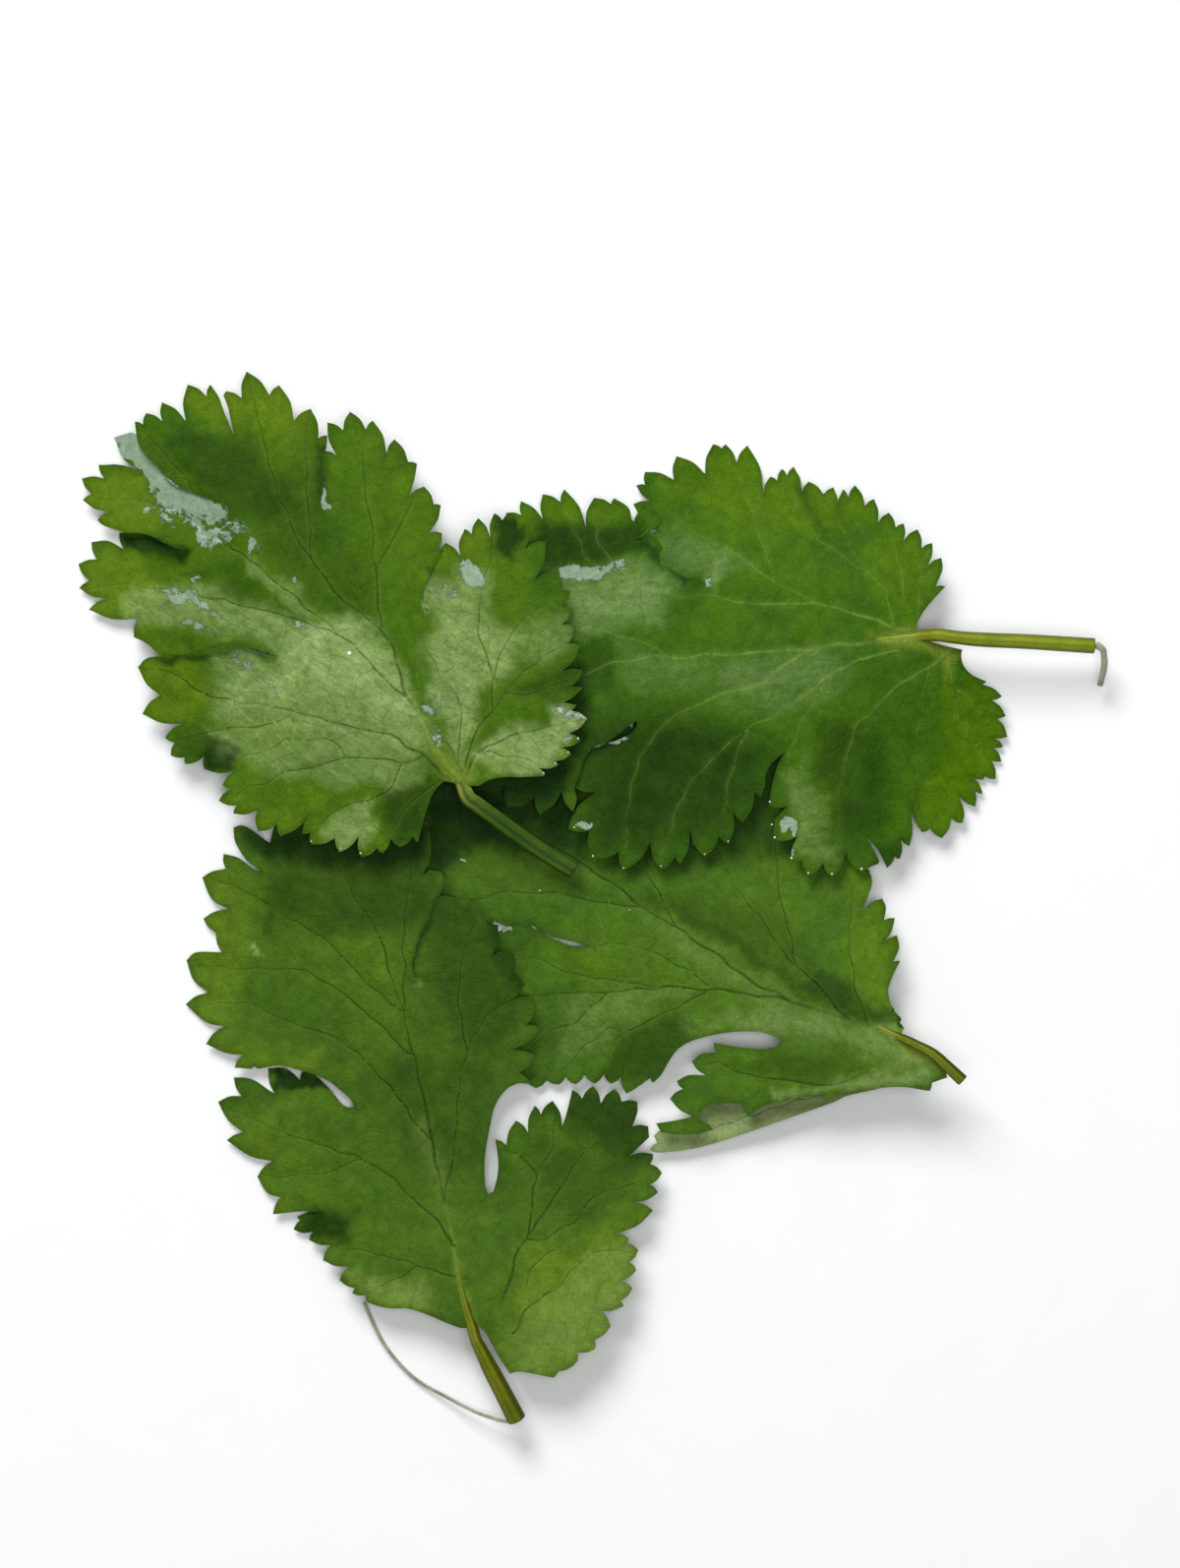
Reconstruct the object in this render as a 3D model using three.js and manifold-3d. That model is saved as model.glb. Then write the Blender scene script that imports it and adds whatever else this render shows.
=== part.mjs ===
// Coriander bunch: four broad, toothed coriander leaves with short cut stalks,
// lying loosely over one another. Millimetres, +Z up, resting on z = 0.
import * as THREE from 'three';
import { mergeVertices } from 'three/addons/utils/BufferGeometryUtils.js';
import Module from 'manifold-3d';

const wasm = await Module();
wasm.setup();

// Driving dimensions, in millimetres.
const PLAN_STEP = 0.08; // one plan unit; every leaf margin is listed in plan units
const PLAN_CENTRE = { x: 602.4, y: 912.1 }; // plan point above the origin; plan y runs towards -Y
const BLADE_THICKNESS = 0.6;
const GRID_STEP = 2.4; // spacing of the curved sheet that each blade is cut from
const SHEET_MARGIN = 3; // how far that sheet reaches past the blade
const FLANK_BULGE = 0.1; // how far a tooth's flank swells, as a share of its length
const HEIGHT_BLEND = 6.5; // distance over which neighbouring heights blend
const STALK_SIDES = 10;
const STALK_GROOVE = 0.28; // depth of the groove along a stalk, as a share of its radius
const STRAND_SIDES = 6;

const COLOURS = {
  freshLeaf: 0x4f7a16,
  darkLeaf: 0x41690f,
  leafUnderside: 0x74885a,
  stalk: 0x87962a,
  driedFibre: 0x7d8468,
};

// Margin points: a tip and a notch are sharp, a side point lies on a smooth stretch.
const tip = (x, y) => ({ x, y, sharp: true });
const notch = (x, y) => ({ x, y, sharp: true });
const side = (x, y) => ({ x, y, sharp: false });
const slit = (width, ...route) => ({ width, route });

// ---------------------------------------------------------------- leaf shapes

const topLeaf = {
  name: 'top_leaf_blade',
  colour: COLOURS.freshLeaf,
  margin: [
    side(452, 794), side(443, 804), side(435, 822), side(430, 842), tip(426, 856),
    notch(421, 850), tip(408, 861), notch(399, 852), tip(390, 867), notch(385, 862), tip(369, 871),
    notch(366, 850), tip(347, 866), notch(342, 852), tip(318, 858), notch(317, 846), tip(309, 847),
    notch(317, 827), tip(287, 850), notch(283, 838), tip(264, 845), notch(263, 824), tip(239, 827),
    notch(242, 819), tip(224, 814), notch(236, 802), tip(228, 798), notch(240, 784), tip(209, 782),
    notch(209, 769), tip(190, 777), notch(189, 770), tip(175, 768), notch(179, 755), tip(169, 750),
    notch(187, 736), tip(146, 726), notch(164, 707), tip(142, 683), side(155, 674),
    slit(4, [170, 671], [200, 669], [216, 663], [232, 659], [250, 660], [266, 664], [284, 668]),
    side(151, 655), tip(137, 648), notch(142, 629), tip(91, 620), notch(109, 609), tip(81, 598),
    notch(92, 591), tip(80, 574), notch(99, 569), tip(93, 553), notch(126, 561), tip(121, 547),
    slit(4, [129, 544], [141, 544], [155, 548], [168, 555], [185, 560]),
    side(119, 539), side(107, 535), tip(100, 529), notch(112, 521), tip(85, 509), notch(94, 503),
    tip(84, 487), notch(107, 487), tip(101, 473), notch(141, 483), tip(114, 448), side(130, 445),
    slit(4, [143, 452], [152, 465], [162, 474], [170, 485], [182, 495], [200, 502], [222, 511]),
    tip(139, 429), notch(147, 432), tip(150, 421), notch(166, 429), tip(166, 410), notch(190, 429),
    tip(192, 392), notch(211, 404), tip(215, 392), slit(5, [226, 404], [231, 418], [239, 444]),
    tip(231, 399), notch(247, 406), tip(252, 379), notch(275, 403), tip(285, 393), notch(300, 429),
    tip(317, 417), notch(325, 447), tip(334, 444), side(333, 456), side(328, 475), side(326, 493),
    side(327, 507), side(332, 517), side(336, 513), side(331, 501), side(330, 486), side(333, 471),
    tip(331, 460), notch(343, 464), tip(334, 431), notch(350, 439), tip(357, 420), notch(373, 438),
    tip(380, 429), notch(394, 462), tip(402, 448), notch(416, 471), tip(425, 473), side(422, 490),
    notch(417, 506), tip(432, 496), notch(442, 514), tip(449, 515), notch(437, 543), tip(450, 543),
    notch(446, 560), tip(453, 562), side(443, 575), side(437, 588), side(432, 602), side(432, 616),
    side(436, 623), side(439, 614), side(439, 602), side(442, 591), side(449, 579), tip(459, 555),
    notch(472, 567), tip(473, 539), notch(480, 544), tip(487, 528), notch(499, 547), tip(503, 523),
    notch(511, 530), tip(520, 523), notch(527, 540), tip(539, 534), notch(534, 559), tip(555, 551),
    notch(544, 591), tip(566, 582), notch(573, 601), tip(580, 602), notch(573, 617), tip(583, 621),
    notch(571, 636), tip(584, 638), notch(578, 655), tip(590, 658), notch(572, 683), tip(593, 682),
    notch(581, 699), tip(593, 700), notch(560, 718), tip(586, 717), notch(581, 723), tip(597, 731),
    notch(579, 746), tip(591, 753), notch(571, 760), tip(581, 767), notch(564, 774), tip(568, 778),
    notch(549, 781), tip(554, 789), side(531, 790), side(512, 790), side(497, 793), side(484, 799),
  ],
  heights: [
    [252, 385, 1.7], [180, 410, 1.3], [330, 430, 2.3], [430, 480, 2.6], [460, 560, 2.9],
    [530, 540, 2.8], [575, 620, 3.5], [590, 700, 3.9], [570, 760, 3.8], [500, 790, 3.9],
    [450, 770, 4.1], [430, 840, 3.9], [370, 865, 3.6], [290, 845, 3.1], [220, 800, 2.1],
    [165, 750, 1.2], [140, 680, 0.7], [85, 595, -0.3], [75, 560, -0.3], [90, 490, 0.4],
    [120, 440, 0.9], [190, 600, 2.6], [200, 690, 2.4], [290, 620, 3.8], [350, 700, 4.5],
    [300, 760, 3.8], [210, 510, 2.2], [300, 500, 3.1], [380, 560, 3.6], [460, 660, 4.1],
    [520, 690, 3.9], [400, 800, 4.1],
  ],
  steps: [
    { route: [[150, 671], [200, 669], [232, 659], [284, 668]], rise: -0.5, reach: 6 },
    { route: [[115, 542], [141, 544], [168, 555], [188, 560]], rise: 0.5, reach: 6 },
    { route: [[140, 445], [152, 465], [170, 485], [200, 502], [224, 512]], rise: 0.5, reach: 6 },
  ],
};

const rightLeaf = {
  name: 'right_leaf_blade',
  colour: COLOURS.freshLeaf,
  margin: [
    side(930, 645), side(932, 633), side(938, 622), side(947, 611), tip(960, 597), notch(950, 597),
    side(957, 580), tip(956, 568), notch(942, 576), tip(947, 553), notch(936, 558), tip(932, 539),
    notch(918, 550), tip(918, 533), notch(910, 537), tip(903, 522), notch(892, 532), tip(888, 508),
    notch(879, 515), tip(869, 494), notch(862, 506), tip(857, 498), notch(851, 523), tip(847, 496),
    notch(837, 503), tip(822, 490), notch(815, 502), tip(807, 475), notch(800, 484), tip(795, 477),
    notch(790, 489), tip(783, 485), notch(776, 503), tip(760, 453), notch(749, 471), tip(738, 452),
    notch(734, 456), tip(725, 452), notch(717, 482), tip(688, 464), notch(685, 488), tip(656, 480),
    notch(656, 493), tip(647, 494), notch(662, 510), tip(644, 513), notch(670, 541), tip(649, 549),
    notch(669, 568), tip(661, 579), side(683, 587), side(702, 589), side(717, 595), side(702, 593),
    side(683, 592), tip(655, 583), notch(662, 570), tip(642, 550), notch(660, 540), tip(642, 524),
    notch(634, 538), tip(617, 512), notch(615, 517), tip(602, 508), notch(596, 537), tip(574, 498),
    notch(570, 511), tip(552, 503), notch(552, 528), tip(530, 510), notch(530, 524), tip(515, 522),
    notch(515, 538), tip(500, 536), notch(505, 555), tip(491, 556), notch(499, 575), tip(487, 580),
    notch(497, 600), tip(488, 612), notch(498, 630), tip(487, 640), notch(497, 660), tip(488, 672),
    notch(498, 690), tip(489, 704), notch(500, 720), tip(490, 735), notch(502, 748), tip(493, 764),
    notch(506, 774), tip(499, 792), notch(514, 800), tip(517, 821), notch(544, 811), tip(549, 828),
    notch(569, 804), tip(579, 825), side(583, 812), side(581, 800), side(586, 786), side(591, 770),
    side(600, 758), side(618, 751), side(630, 744), side(647, 733), side(647, 739), side(639, 748),
    side(626, 756), side(612, 761), side(602, 767), side(595, 777), side(591, 788), tip(587, 800),
    notch(607, 806), tip(582, 843), notch(601, 845), side(598, 858), tip(602, 873), notch(629, 866),
    tip(634, 885),
    notch(661, 857), tip(672, 884), notch(686, 871), tip(692, 878), notch(701, 844), tip(716, 871),
    notch(731, 850), tip(740, 858), notch(745, 825), tip(755, 836), notch(767, 805), tip(773, 810),
    side(777, 799), side(778, 788), side(784, 776), side(797, 765), side(790, 778), side(785, 795),
    tip(781, 819), notch(799, 820), side(786, 834), tip(787, 854), notch(810, 850), tip(804, 875),
    notch(815, 874), tip(821, 890), notch(836, 877), tip(845, 892), notch(859, 867), tip(875, 887),
    side(884, 881), tip(892, 878), slit(4, [895, 874], [889, 863], [880, 850]), tip(901, 882),
    notch(909, 871), tip(914, 873), notch(915, 853), tip(924, 860), side(927, 845), notch(925, 822),
    side(930, 836), tip(937, 846), notch(945, 842), tip(957, 852), notch(967, 832), tip(978, 837),
    side(980, 825), notch(974, 808), tip(991, 820), notch(991, 804), tip(999, 807), notch(987, 788),
    tip(999, 793), notch(1001, 789), tip(1012, 792), notch(1008, 773), tip(1018, 774),
    notch(1010, 760), tip(1020, 759), notch(1010, 750), tip(1024, 749), notch(1013, 730),
    tip(1022, 728), notch(1008, 712), tip(1018, 708), notch(998, 696), tip(1002, 693),
    side(988, 687), side(979, 678), side(976, 668), side(977, 661), side(962, 657), side(945, 653),
  ],
  heights: [
    [740, 445, -1.2], [700, 470, -0.4], [790, 470, -0.3], [860, 505, 0.8], [930, 550, 1.6],
    [945, 620, 2.9], [960, 655, 3.2], [1010, 700, 1.9], [1020, 765, -3.0], [985, 815, -0.4],
    [940, 850, 1.2], [890, 880, 2.8], [840, 890, 2.8], [800, 870, 2.6], [740, 860, 2.5],
    [670, 880, 2.3], [600, 860, 2.1], [650, 470, 0.4], [600, 510, 0.6], [540, 510, 0.7],
    [500, 570, 1.1], [490, 660, 1.4], [490, 760, 1.5], [520, 820, 1.7], [580, 800, 1.9],
    [580, 700, 2.1], [590, 600, 1.6], [680, 540, 1.6], [720, 600, 2.6], [800, 560, 2.0],
    [860, 620, 3.2], [800, 680, 3.5], [700, 690, 2.8], [680, 780, 2.5], [780, 780, 2.9],
    [870, 740, 3.3], [930, 720, 2.9], [910, 800, 2.6],
  ],
  steps: [
    { route: [[640, 500], [655, 540], [660, 582], [717, 595]], rise: -0.5, reach: 6 },
    { route: [[584, 840], [584, 790], [600, 764], [628, 750], [648, 736]], rise: 0.45, reach: 6 },
    { route: [[892, 885], [889, 863], [879, 848]], rise: 0.3, reach: 4 },
  ],
};

const lowerLeaf = {
  name: 'lower_leaf_blade',
  colour: COLOURS.freshLeaf,
  margin: [
    side(911, 1043), side(908, 1031), side(903, 1015), side(902, 1004), side(907, 990), tip(914, 976),
    notch(907, 977), side(913, 963), tip(911, 950), notch(895, 960), tip(909, 933), notch(898, 935),
    side(900, 922), tip(896, 913), side(885, 917), notch(874, 928), side(881, 913), tip(886, 897),
    side(883, 884), notch(874, 878), tip(886, 864), notch(870, 858), tip(877, 842), notch(858, 842),
    tip(861, 824), notch(843, 832), tip(838, 812), notch(823, 826), tip(811, 803), notch(798, 819),
    tip(782, 798), notch(768, 814), tip(748, 792), notch(736, 808), tip(716, 787), side(703, 806),
    side(704, 830), side(710, 852), side(705, 866), side(699, 852), side(694, 828), tip(684, 786),
    notch(674, 800), tip(652, 783), notch(643, 798), tip(620, 784), notch(611, 799), tip(588, 782),
    notch(580, 796), tip(556, 776), notch(548, 790), tip(524, 771), notch(517, 786), tip(494, 776),
    notch(489, 792), tip(465, 785), notch(463, 802), tip(441, 803), notch(443, 820), tip(424, 826),
    notch(430, 843), tip(414, 853), notch(423, 868), tip(410, 880), notch(422, 893), tip(414, 908),
    notch(428, 914), tip(430, 931), notch(445, 925), tip(458, 941), notch(470, 929), tip(490, 944),
    notch(502, 934), tip(522, 938), side(534, 936), side(546, 940), side(557, 947), side(568, 952),
    side(582, 956), side(597, 961), side(582, 962), side(567, 958), side(554, 953), side(543, 946),
    side(532, 942), side(520, 945), side(513, 948), tip(506, 951), notch(498, 962), tip(480, 960),
    notch(482, 978), tip(465, 984), notch(474, 999), tip(460, 1010), notch(473, 1023),
    tip(464, 1039), notch(480, 1047), tip(476, 1066),
    notch(492, 1070), tip(494, 1090), notch(510, 1086), tip(520, 1104), notch(532, 1094),
    tip(545, 1106), notch(556, 1098), tip(569, 1102), notch(575, 1094), tip(585, 1102),
    notch(594, 1092), tip(605, 1101), notch(614, 1091), tip(621, 1101), notch(631, 1094),
    tip(637, 1111), side(646, 1106), notch(661, 1095), tip(664, 1100), side(672, 1092),
    side(679, 1080), side(688, 1067), side(702, 1058), side(722, 1052), side(748, 1048),
    side(770, 1048), side(786, 1052), side(794, 1057), side(787, 1063), side(770, 1065),
    side(748, 1063), tip(725, 1059), notch(729, 1069), side(714, 1070), tip(703, 1078),
    notch(717, 1092), side(700, 1092), tip(688, 1098), notch(694, 1106), tip(681, 1116),
    notch(705, 1134), side(686, 1138), tip(667, 1141), side(672, 1150), side(690, 1152),
    side(708, 1151), tip(725, 1147), notch(710, 1138), side(712, 1128), side(728, 1120),
    notch(756, 1120), tip(760, 1134), side(770, 1126), side(790, 1118), notch(836, 1111),
    tip(840, 1117), side(854, 1110), side(885, 1105), side(915, 1103), tip(943, 1107),
    notch(944, 1100), side(957, 1097), side(950, 1086), side(938, 1076), side(922, 1065),
    side(909, 1055),
  ],
  heights: [
    [410, 880, 0.0], [440, 810, -0.1], [450, 930, 0.2], [520, 780, -0.1], [600, 790, 0.2],
    [700, 790, 0.4], [780, 810, 0.6], [850, 840, 0.8], [880, 890, 0.9], [900, 940, 1.9],
    [900, 1000, 3.1], [912, 1050, 4.6], [955, 1092, 5.1], [900, 1095, 4.6], [840, 1105, 3.7],
    [760, 1120, 3.0], [700, 1140, 2.5], [690, 1100, 2.2], [720, 1070, 2.0], [650, 1100, 0.8],
    [600, 1105, 0.1], [540, 1095, -0.1], [480, 1060, 0.1], [470, 1000, 0.2], [500, 960, 0.3],
    [520, 870, 0.3], [600, 880, 0.7], [600, 1010, 1.1], [680, 960, 1.6], [740, 900, 1.2],
    [680, 1040, 1.6], [780, 1000, 2.6], [820, 940, 1.9], [840, 1060, 3.8],
  ],
  steps: [],
};

// The basal lobe of the lower leaf, turned under it with its pale underside showing.
const turnedLobe = {
  name: 'lower_leaf_turned_lobe',
  colour: COLOURS.leafUnderside,
  margin: [
    side(938, 1094), side(915, 1099), side(890, 1106), side(860, 1113), side(837, 1123),
    side(809, 1134), side(781, 1144), side(753, 1153), side(725, 1162), side(696, 1167),
    side(674, 1171), tip(661, 1169), notch(668, 1161), side(665, 1154), side(674, 1147),
    side(692, 1145), side(706, 1130), side(722, 1114), side(745, 1104), side(780, 1098),
    side(820, 1092), side(860, 1086), side(900, 1083), side(930, 1085),
  ],
  heights: [
    [935, 1090, 3.7], [890, 1095, 3.2], [840, 1105, 2.4], [780, 1115, 1.6], [720, 1130, 1.0],
    [670, 1155, 0.4], [700, 1166, 0.3], [760, 1150, 0.7], [830, 1125, 1.7],
  ],
  steps: [],
};

const leftLeaf = {
  name: 'left_leaf_blade',
  colour: COLOURS.darkLeaf,
  margin: [
    side(469, 1347), side(453, 1341), side(433, 1333), side(415, 1328), notch(399, 1328),
    side(387, 1326), tip(375, 1322), notch(372, 1315), tip(359, 1313), notch(362, 1308),
    tip(346, 1300), notch(356, 1286), side(342, 1286), tip(329, 1280), notch(337, 1265),
    tip(315, 1260), notch(319, 1252), tip(299, 1251), notch(306, 1243), tip(303, 1240),
    side(313, 1236), notch(327, 1232), side(305, 1231), tip(278, 1234), notch(286, 1217),
    side(272, 1212), tip(262, 1196), notch(278, 1180), side(255, 1175), tip(231, 1159),
    notch(248, 1151), side(232, 1138), tip(222, 1120), notch(246, 1114), tip(238, 1095),
    side(255, 1097), side(268, 1105), notch(280, 1112), tip(273, 1090), side(290, 1090),
    notch(305, 1100), tip(308, 1092), side(322, 1097), side(333, 1104), side(341, 1113),
    side(350, 1123), side(361, 1125), side(357, 1117), side(346, 1107), side(334, 1098),
    side(318, 1091), side(300, 1086), side(282, 1083), side(262, 1086), tip(239, 1085),
    notch(248, 1072), side(230, 1070), tip(210, 1061), notch(229, 1043), side(210, 1039),
    tip(189, 1021), notch(212, 1009), side(197, 996), tip(190, 976), side(200, 968),
    notch(226, 968), notch(220, 948), tip(207, 934), side(218, 927), notch(233, 924),
    side(216, 914), tip(206, 892), side(216, 886), notch(230, 883), tip(228, 868), side(243, 872),
    slit(3, [251, 876], [259, 882], [267, 887]), side(243, 862), side(239, 853), tip(238, 841),
    side(250, 840), notch(275, 857), tip(290, 828), notch(303, 838), tip(320, 814), notch(333, 830),
    tip(350, 806), notch(363, 822), tip(384, 804), notch(398, 824), tip(414, 812), notch(420, 832),
    tip(436, 836), side(439, 860), side(437, 876), notch(430, 889), side(438, 884), tip(450, 887),
    side(451, 900), slit(5, [447, 918], [441, 935], [434, 952], [428, 968], [426, 984], [425, 997]),
    tip(455, 912), side(465, 913), notch(474, 926), tip(484, 916), side(491, 925), notch(496, 940),
    tip(507, 940), side(507, 958), notch(501, 971), side(512, 966), tip(523, 969), notch(521, 991),
    tip(534, 1000), notch(514, 1019), side(528, 1013), tip(543, 1013), side(544, 1028),
    notch(536, 1041), tip(550, 1045), notch(522, 1066), side(535, 1068), tip(544, 1071),
    notch(529, 1090), tip(540, 1101), side(524, 1101), side(512, 1110), side(503, 1125),
    side(498, 1147), side(494, 1170), side(493, 1190), side(494, 1205), side(497, 1213),
    side(502, 1210), side(506, 1195), side(507, 1180), tip(504, 1157), notch(515, 1163),
    tip(525, 1138), notch(537, 1150), tip(544, 1123), notch(550, 1132), tip(562, 1118),
    notch(572, 1144), side(577, 1128), tip(582, 1107), notch(592, 1116), tip(603, 1103),
    notch(611, 1121), tip(625, 1106), notch(632, 1119), tip(648, 1119), side(648, 1130),
    notch(643, 1144), tip(659, 1144), side(660, 1155), notch(640, 1174), tip(664, 1172),
    notch(661, 1182), tip(673, 1191), notch(661, 1203), tip(669, 1211), notch(645, 1221),
    tip(664, 1229), notch(628, 1252), tip(639, 1257), notch(637, 1262), tip(649, 1269),
    notch(640, 1281), tip(647, 1289), notch(631, 1300), tip(643, 1307), notch(631, 1320),
    tip(634, 1325), notch(611, 1330), tip(621, 1345), notch(605, 1359), tip(605, 1368),
    notch(588, 1372), tip(586, 1382), notch(568, 1391), tip(563, 1397), side(545, 1394),
    side(530, 1391), side(519, 1393), side(506, 1373), side(494, 1352), side(484, 1343),
  ],
  heights: [
    [190, 960, -0.5], [200, 1030, -0.2], [215, 900, 0.3], [250, 850, 0.8], [330, 830, 1.2],
    [420, 830, 1.5], [440, 890, 1.7], [500, 930, 1.9], [530, 1000, 2.0], [540, 1070, 2.0],
    [480, 1150, 1.7], [340, 950, 1.5], [420, 1040, 2.1], [310, 1050, 0.9], [240, 1110, 0.3],
    [240, 1170, 0.3], [280, 1220, -0.1], [310, 1255, -1.1], [350, 1300, 1.8], [400, 1320, 3.0],
    [470, 1335, 3.8], [420, 1180, 1.9], [350, 1180, 1.1], [420, 1260, 2.9], [500, 1250, 2.1],
    [520, 1190, 1.0], [560, 1125, 1.5], [620, 1115, 1.6], [345, 1112, 0.2], [655, 1165, 1.5],
    [660, 1220, 1.9],
    [640, 1290, 2.8], [600, 1370, 4.0], [540, 1385, 4.1], [570, 1240, 2.0], [560, 1320, 3.4],
  ],
  steps: [
    { route: [[225, 1092], [280, 1087], [333, 1101], [362, 1125]], rise: 0.4, reach: 6 },
    { route: [[290, 1237], [310, 1234], [330, 1231]], rise: 0.35, reach: 4 },
  ],
};

// Stalks: a route of [x, y, height of the axis, radius], from the blade to the cut end.
const stalks = [
  {
    name: 'top_leaf_stalk',
    route: [[477, 811, 4.3, 0.68], [509, 835, 3.8, 0.72], [545, 861, 3.1, 0.72], [583, 885, 2.6, 0.66]],
  },
  {
    name: 'right_leaf_stalk',
    route: [[952, 646, 3.8, 0.26], [985, 650, 4.1, 0.55], [1045, 653, 4.2, 0.58], [1110, 657, 3.6, 0.6]],
  },
  {
    name: 'lower_leaf_stalk',
    route: [[922, 1056, 5.3, 0.28], [945, 1068, 5.7, 0.45], [962, 1083, 5.8, 0.5], [976, 1096, 5.7, 0.52]],
  },
  {
    name: 'left_leaf_stalk',
    route: [[485, 1359, 4.3, 0.5], [499, 1387, 4.2, 0.7], [513, 1414, 3.7, 0.76], [526, 1440, 3.0, 0.8]],
  },
];

// Strands torn off the stalks' cut ends.
const strands = [
  {
    name: 'right_stalk_torn_strip',
    route: [[1119, 661, 3.5, 0.3], [1121, 672, 3.1, 0.36], [1120, 684, 2.6, 0.34], [1117, 697, 2.1, 0.3]],
    steps: 6,
  },
  {
    name: 'left_stalk_peeled_fibre',
    route: [
      [509, 1442, 2.2, 0.3], [486, 1435, 1.5, 0.3], [455, 1420, 0.8, 0.3], [422, 1401, 0.4, 0.3],
      [395, 1372, 0.5, 0.3], [380, 1345, 0.9, 0.3], [371, 1323, 1.2, 0.3],
    ],
    steps: 24,
  },
];

// ------------------------------------------------------------ plan and heights

const planX = (x) => (x - PLAN_CENTRE.x) * PLAN_STEP;
const planY = (y) => (PLAN_CENTRE.y - y) * PLAN_STEP;
const smooth = THREE.MathUtils.smoothstep;

function signedArea(points) {
  return points.reduce((sum, point, i) => {
    const next = points[(i + 1) % points.length];
    return sum + (point.x * next.y - next.x * point.y) / 2;
  }, 0);
}

// The two edges of a slit: in along one, round its closed end, out along the other.
function slitEdges({ width, route }, turn) {
  const edge = (sign) => route.slice(0, -1).map(([x, y], i) => {
    const [nextX, nextY] = route[i + 1];
    const run = Math.hypot(nextX - x, nextY - y);
    const across = (sign * turn * width) / 2 / run;
    return side(x - (nextY - y) * across, y + (nextX - x) * across);
  });
  const [endX, endY] = route.at(-1);
  return [...edge(1), side(endX, endY), ...edge(-1).reverse()];
}

// The margin in millimetres, with slits opened and tooth flanks swelling outwards.
function bladeOutline(margin) {
  const turn = Math.sign(signedArea(margin.filter((point) => !point.route)));
  const corners = margin.flatMap((point) => (point.route ? slitEdges(point, turn) : [point]));
  return corners.flatMap((point, i) => {
    const next = corners[(i + 1) % corners.length];
    const here = new THREE.Vector2(planX(point.x), planY(point.y));
    if (!point.sharp || !next.sharp) return [here];
    const there = new THREE.Vector2(planX(next.x), planY(next.y));
    const run = there.clone().sub(here);
    const outward = new THREE.Vector2(-run.y, run.x).multiplyScalar(turn * FLANK_BULGE);
    return [here, here.clone().lerp(there, 0.5).add(outward)];
  });
}

// Height of a blade's lower face, blended from the heights given at a few places.
function heightAt(heights, x, y) {
  let weights = 0;
  let total = 0;
  for (const [markX, markY, height] of heights) {
    const distance = Math.hypot(x - planX(markX), y - planY(markY)) / HEIGHT_BLEND;
    const weight = Math.exp(-distance * distance) + 1e-9;
    weights += weight;
    total += weight * height;
  }
  return total / weights;
}

// How far a lobe is raised or lowered beside a slit: nothing at the slit's closed end,
// where its route stops, and opposite on the slit's two sides.
function stepAt({ route, rise, reach }, x, y) {
  let nearest = Infinity;
  let amount = 0;
  for (let i = 0; i < route.length - 1; i += 1) {
    const start = new THREE.Vector2(planX(route[i][0]), planY(route[i][1]));
    const run = new THREE.Vector2(planX(route[i + 1][0]), planY(route[i + 1][1])).sub(start);
    const offset = new THREE.Vector2(x, y).sub(start);
    const share = THREE.MathUtils.clamp(offset.dot(run) / run.lengthSq(), 0, 1);
    const distance = offset.clone().addScaledVector(run, -share).length();
    if (distance < nearest) {
      nearest = distance;
      const open = smooth(route.length - 1 - i - share, 0, 1);
      amount = Math.sign(run.cross(offset)) * open;
    }
  }
  const fade = Math.max(0, 1 - (nearest / reach) ** 2) ** 2;
  return rise * amount * fade;
}

// ---------------------------------------------------------------------- solids

function solidOf(geometry) {
  const bare = geometry.clone();
  bare.deleteAttribute('normal');
  bare.deleteAttribute('uv');
  const merged = mergeVertices(bare, 1e-5);
  return new wasm.Manifold(new wasm.Mesh({
    numProp: 3,
    vertProperties: new Float32Array(merged.attributes.position.array),
    triVerts: new Uint32Array(merged.index.array),
  }));
}

function geometryOf(solid, moved) {
  const mesh = solid.getMesh();
  const positions = new Float32Array(mesh.vertProperties.length);
  for (let i = 0; i < positions.length; i += 3) {
    const [x, y, z] = mesh.vertProperties.slice(i, i + 3);
    positions.set([x, y, moved(x, y, z)], i);
  }
  const geometry = new THREE.BufferGeometry();
  geometry.setAttribute('position', new THREE.BufferAttribute(positions, 3));
  geometry.setIndex([...mesh.triVerts]);
  return geometry;
}

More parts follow.
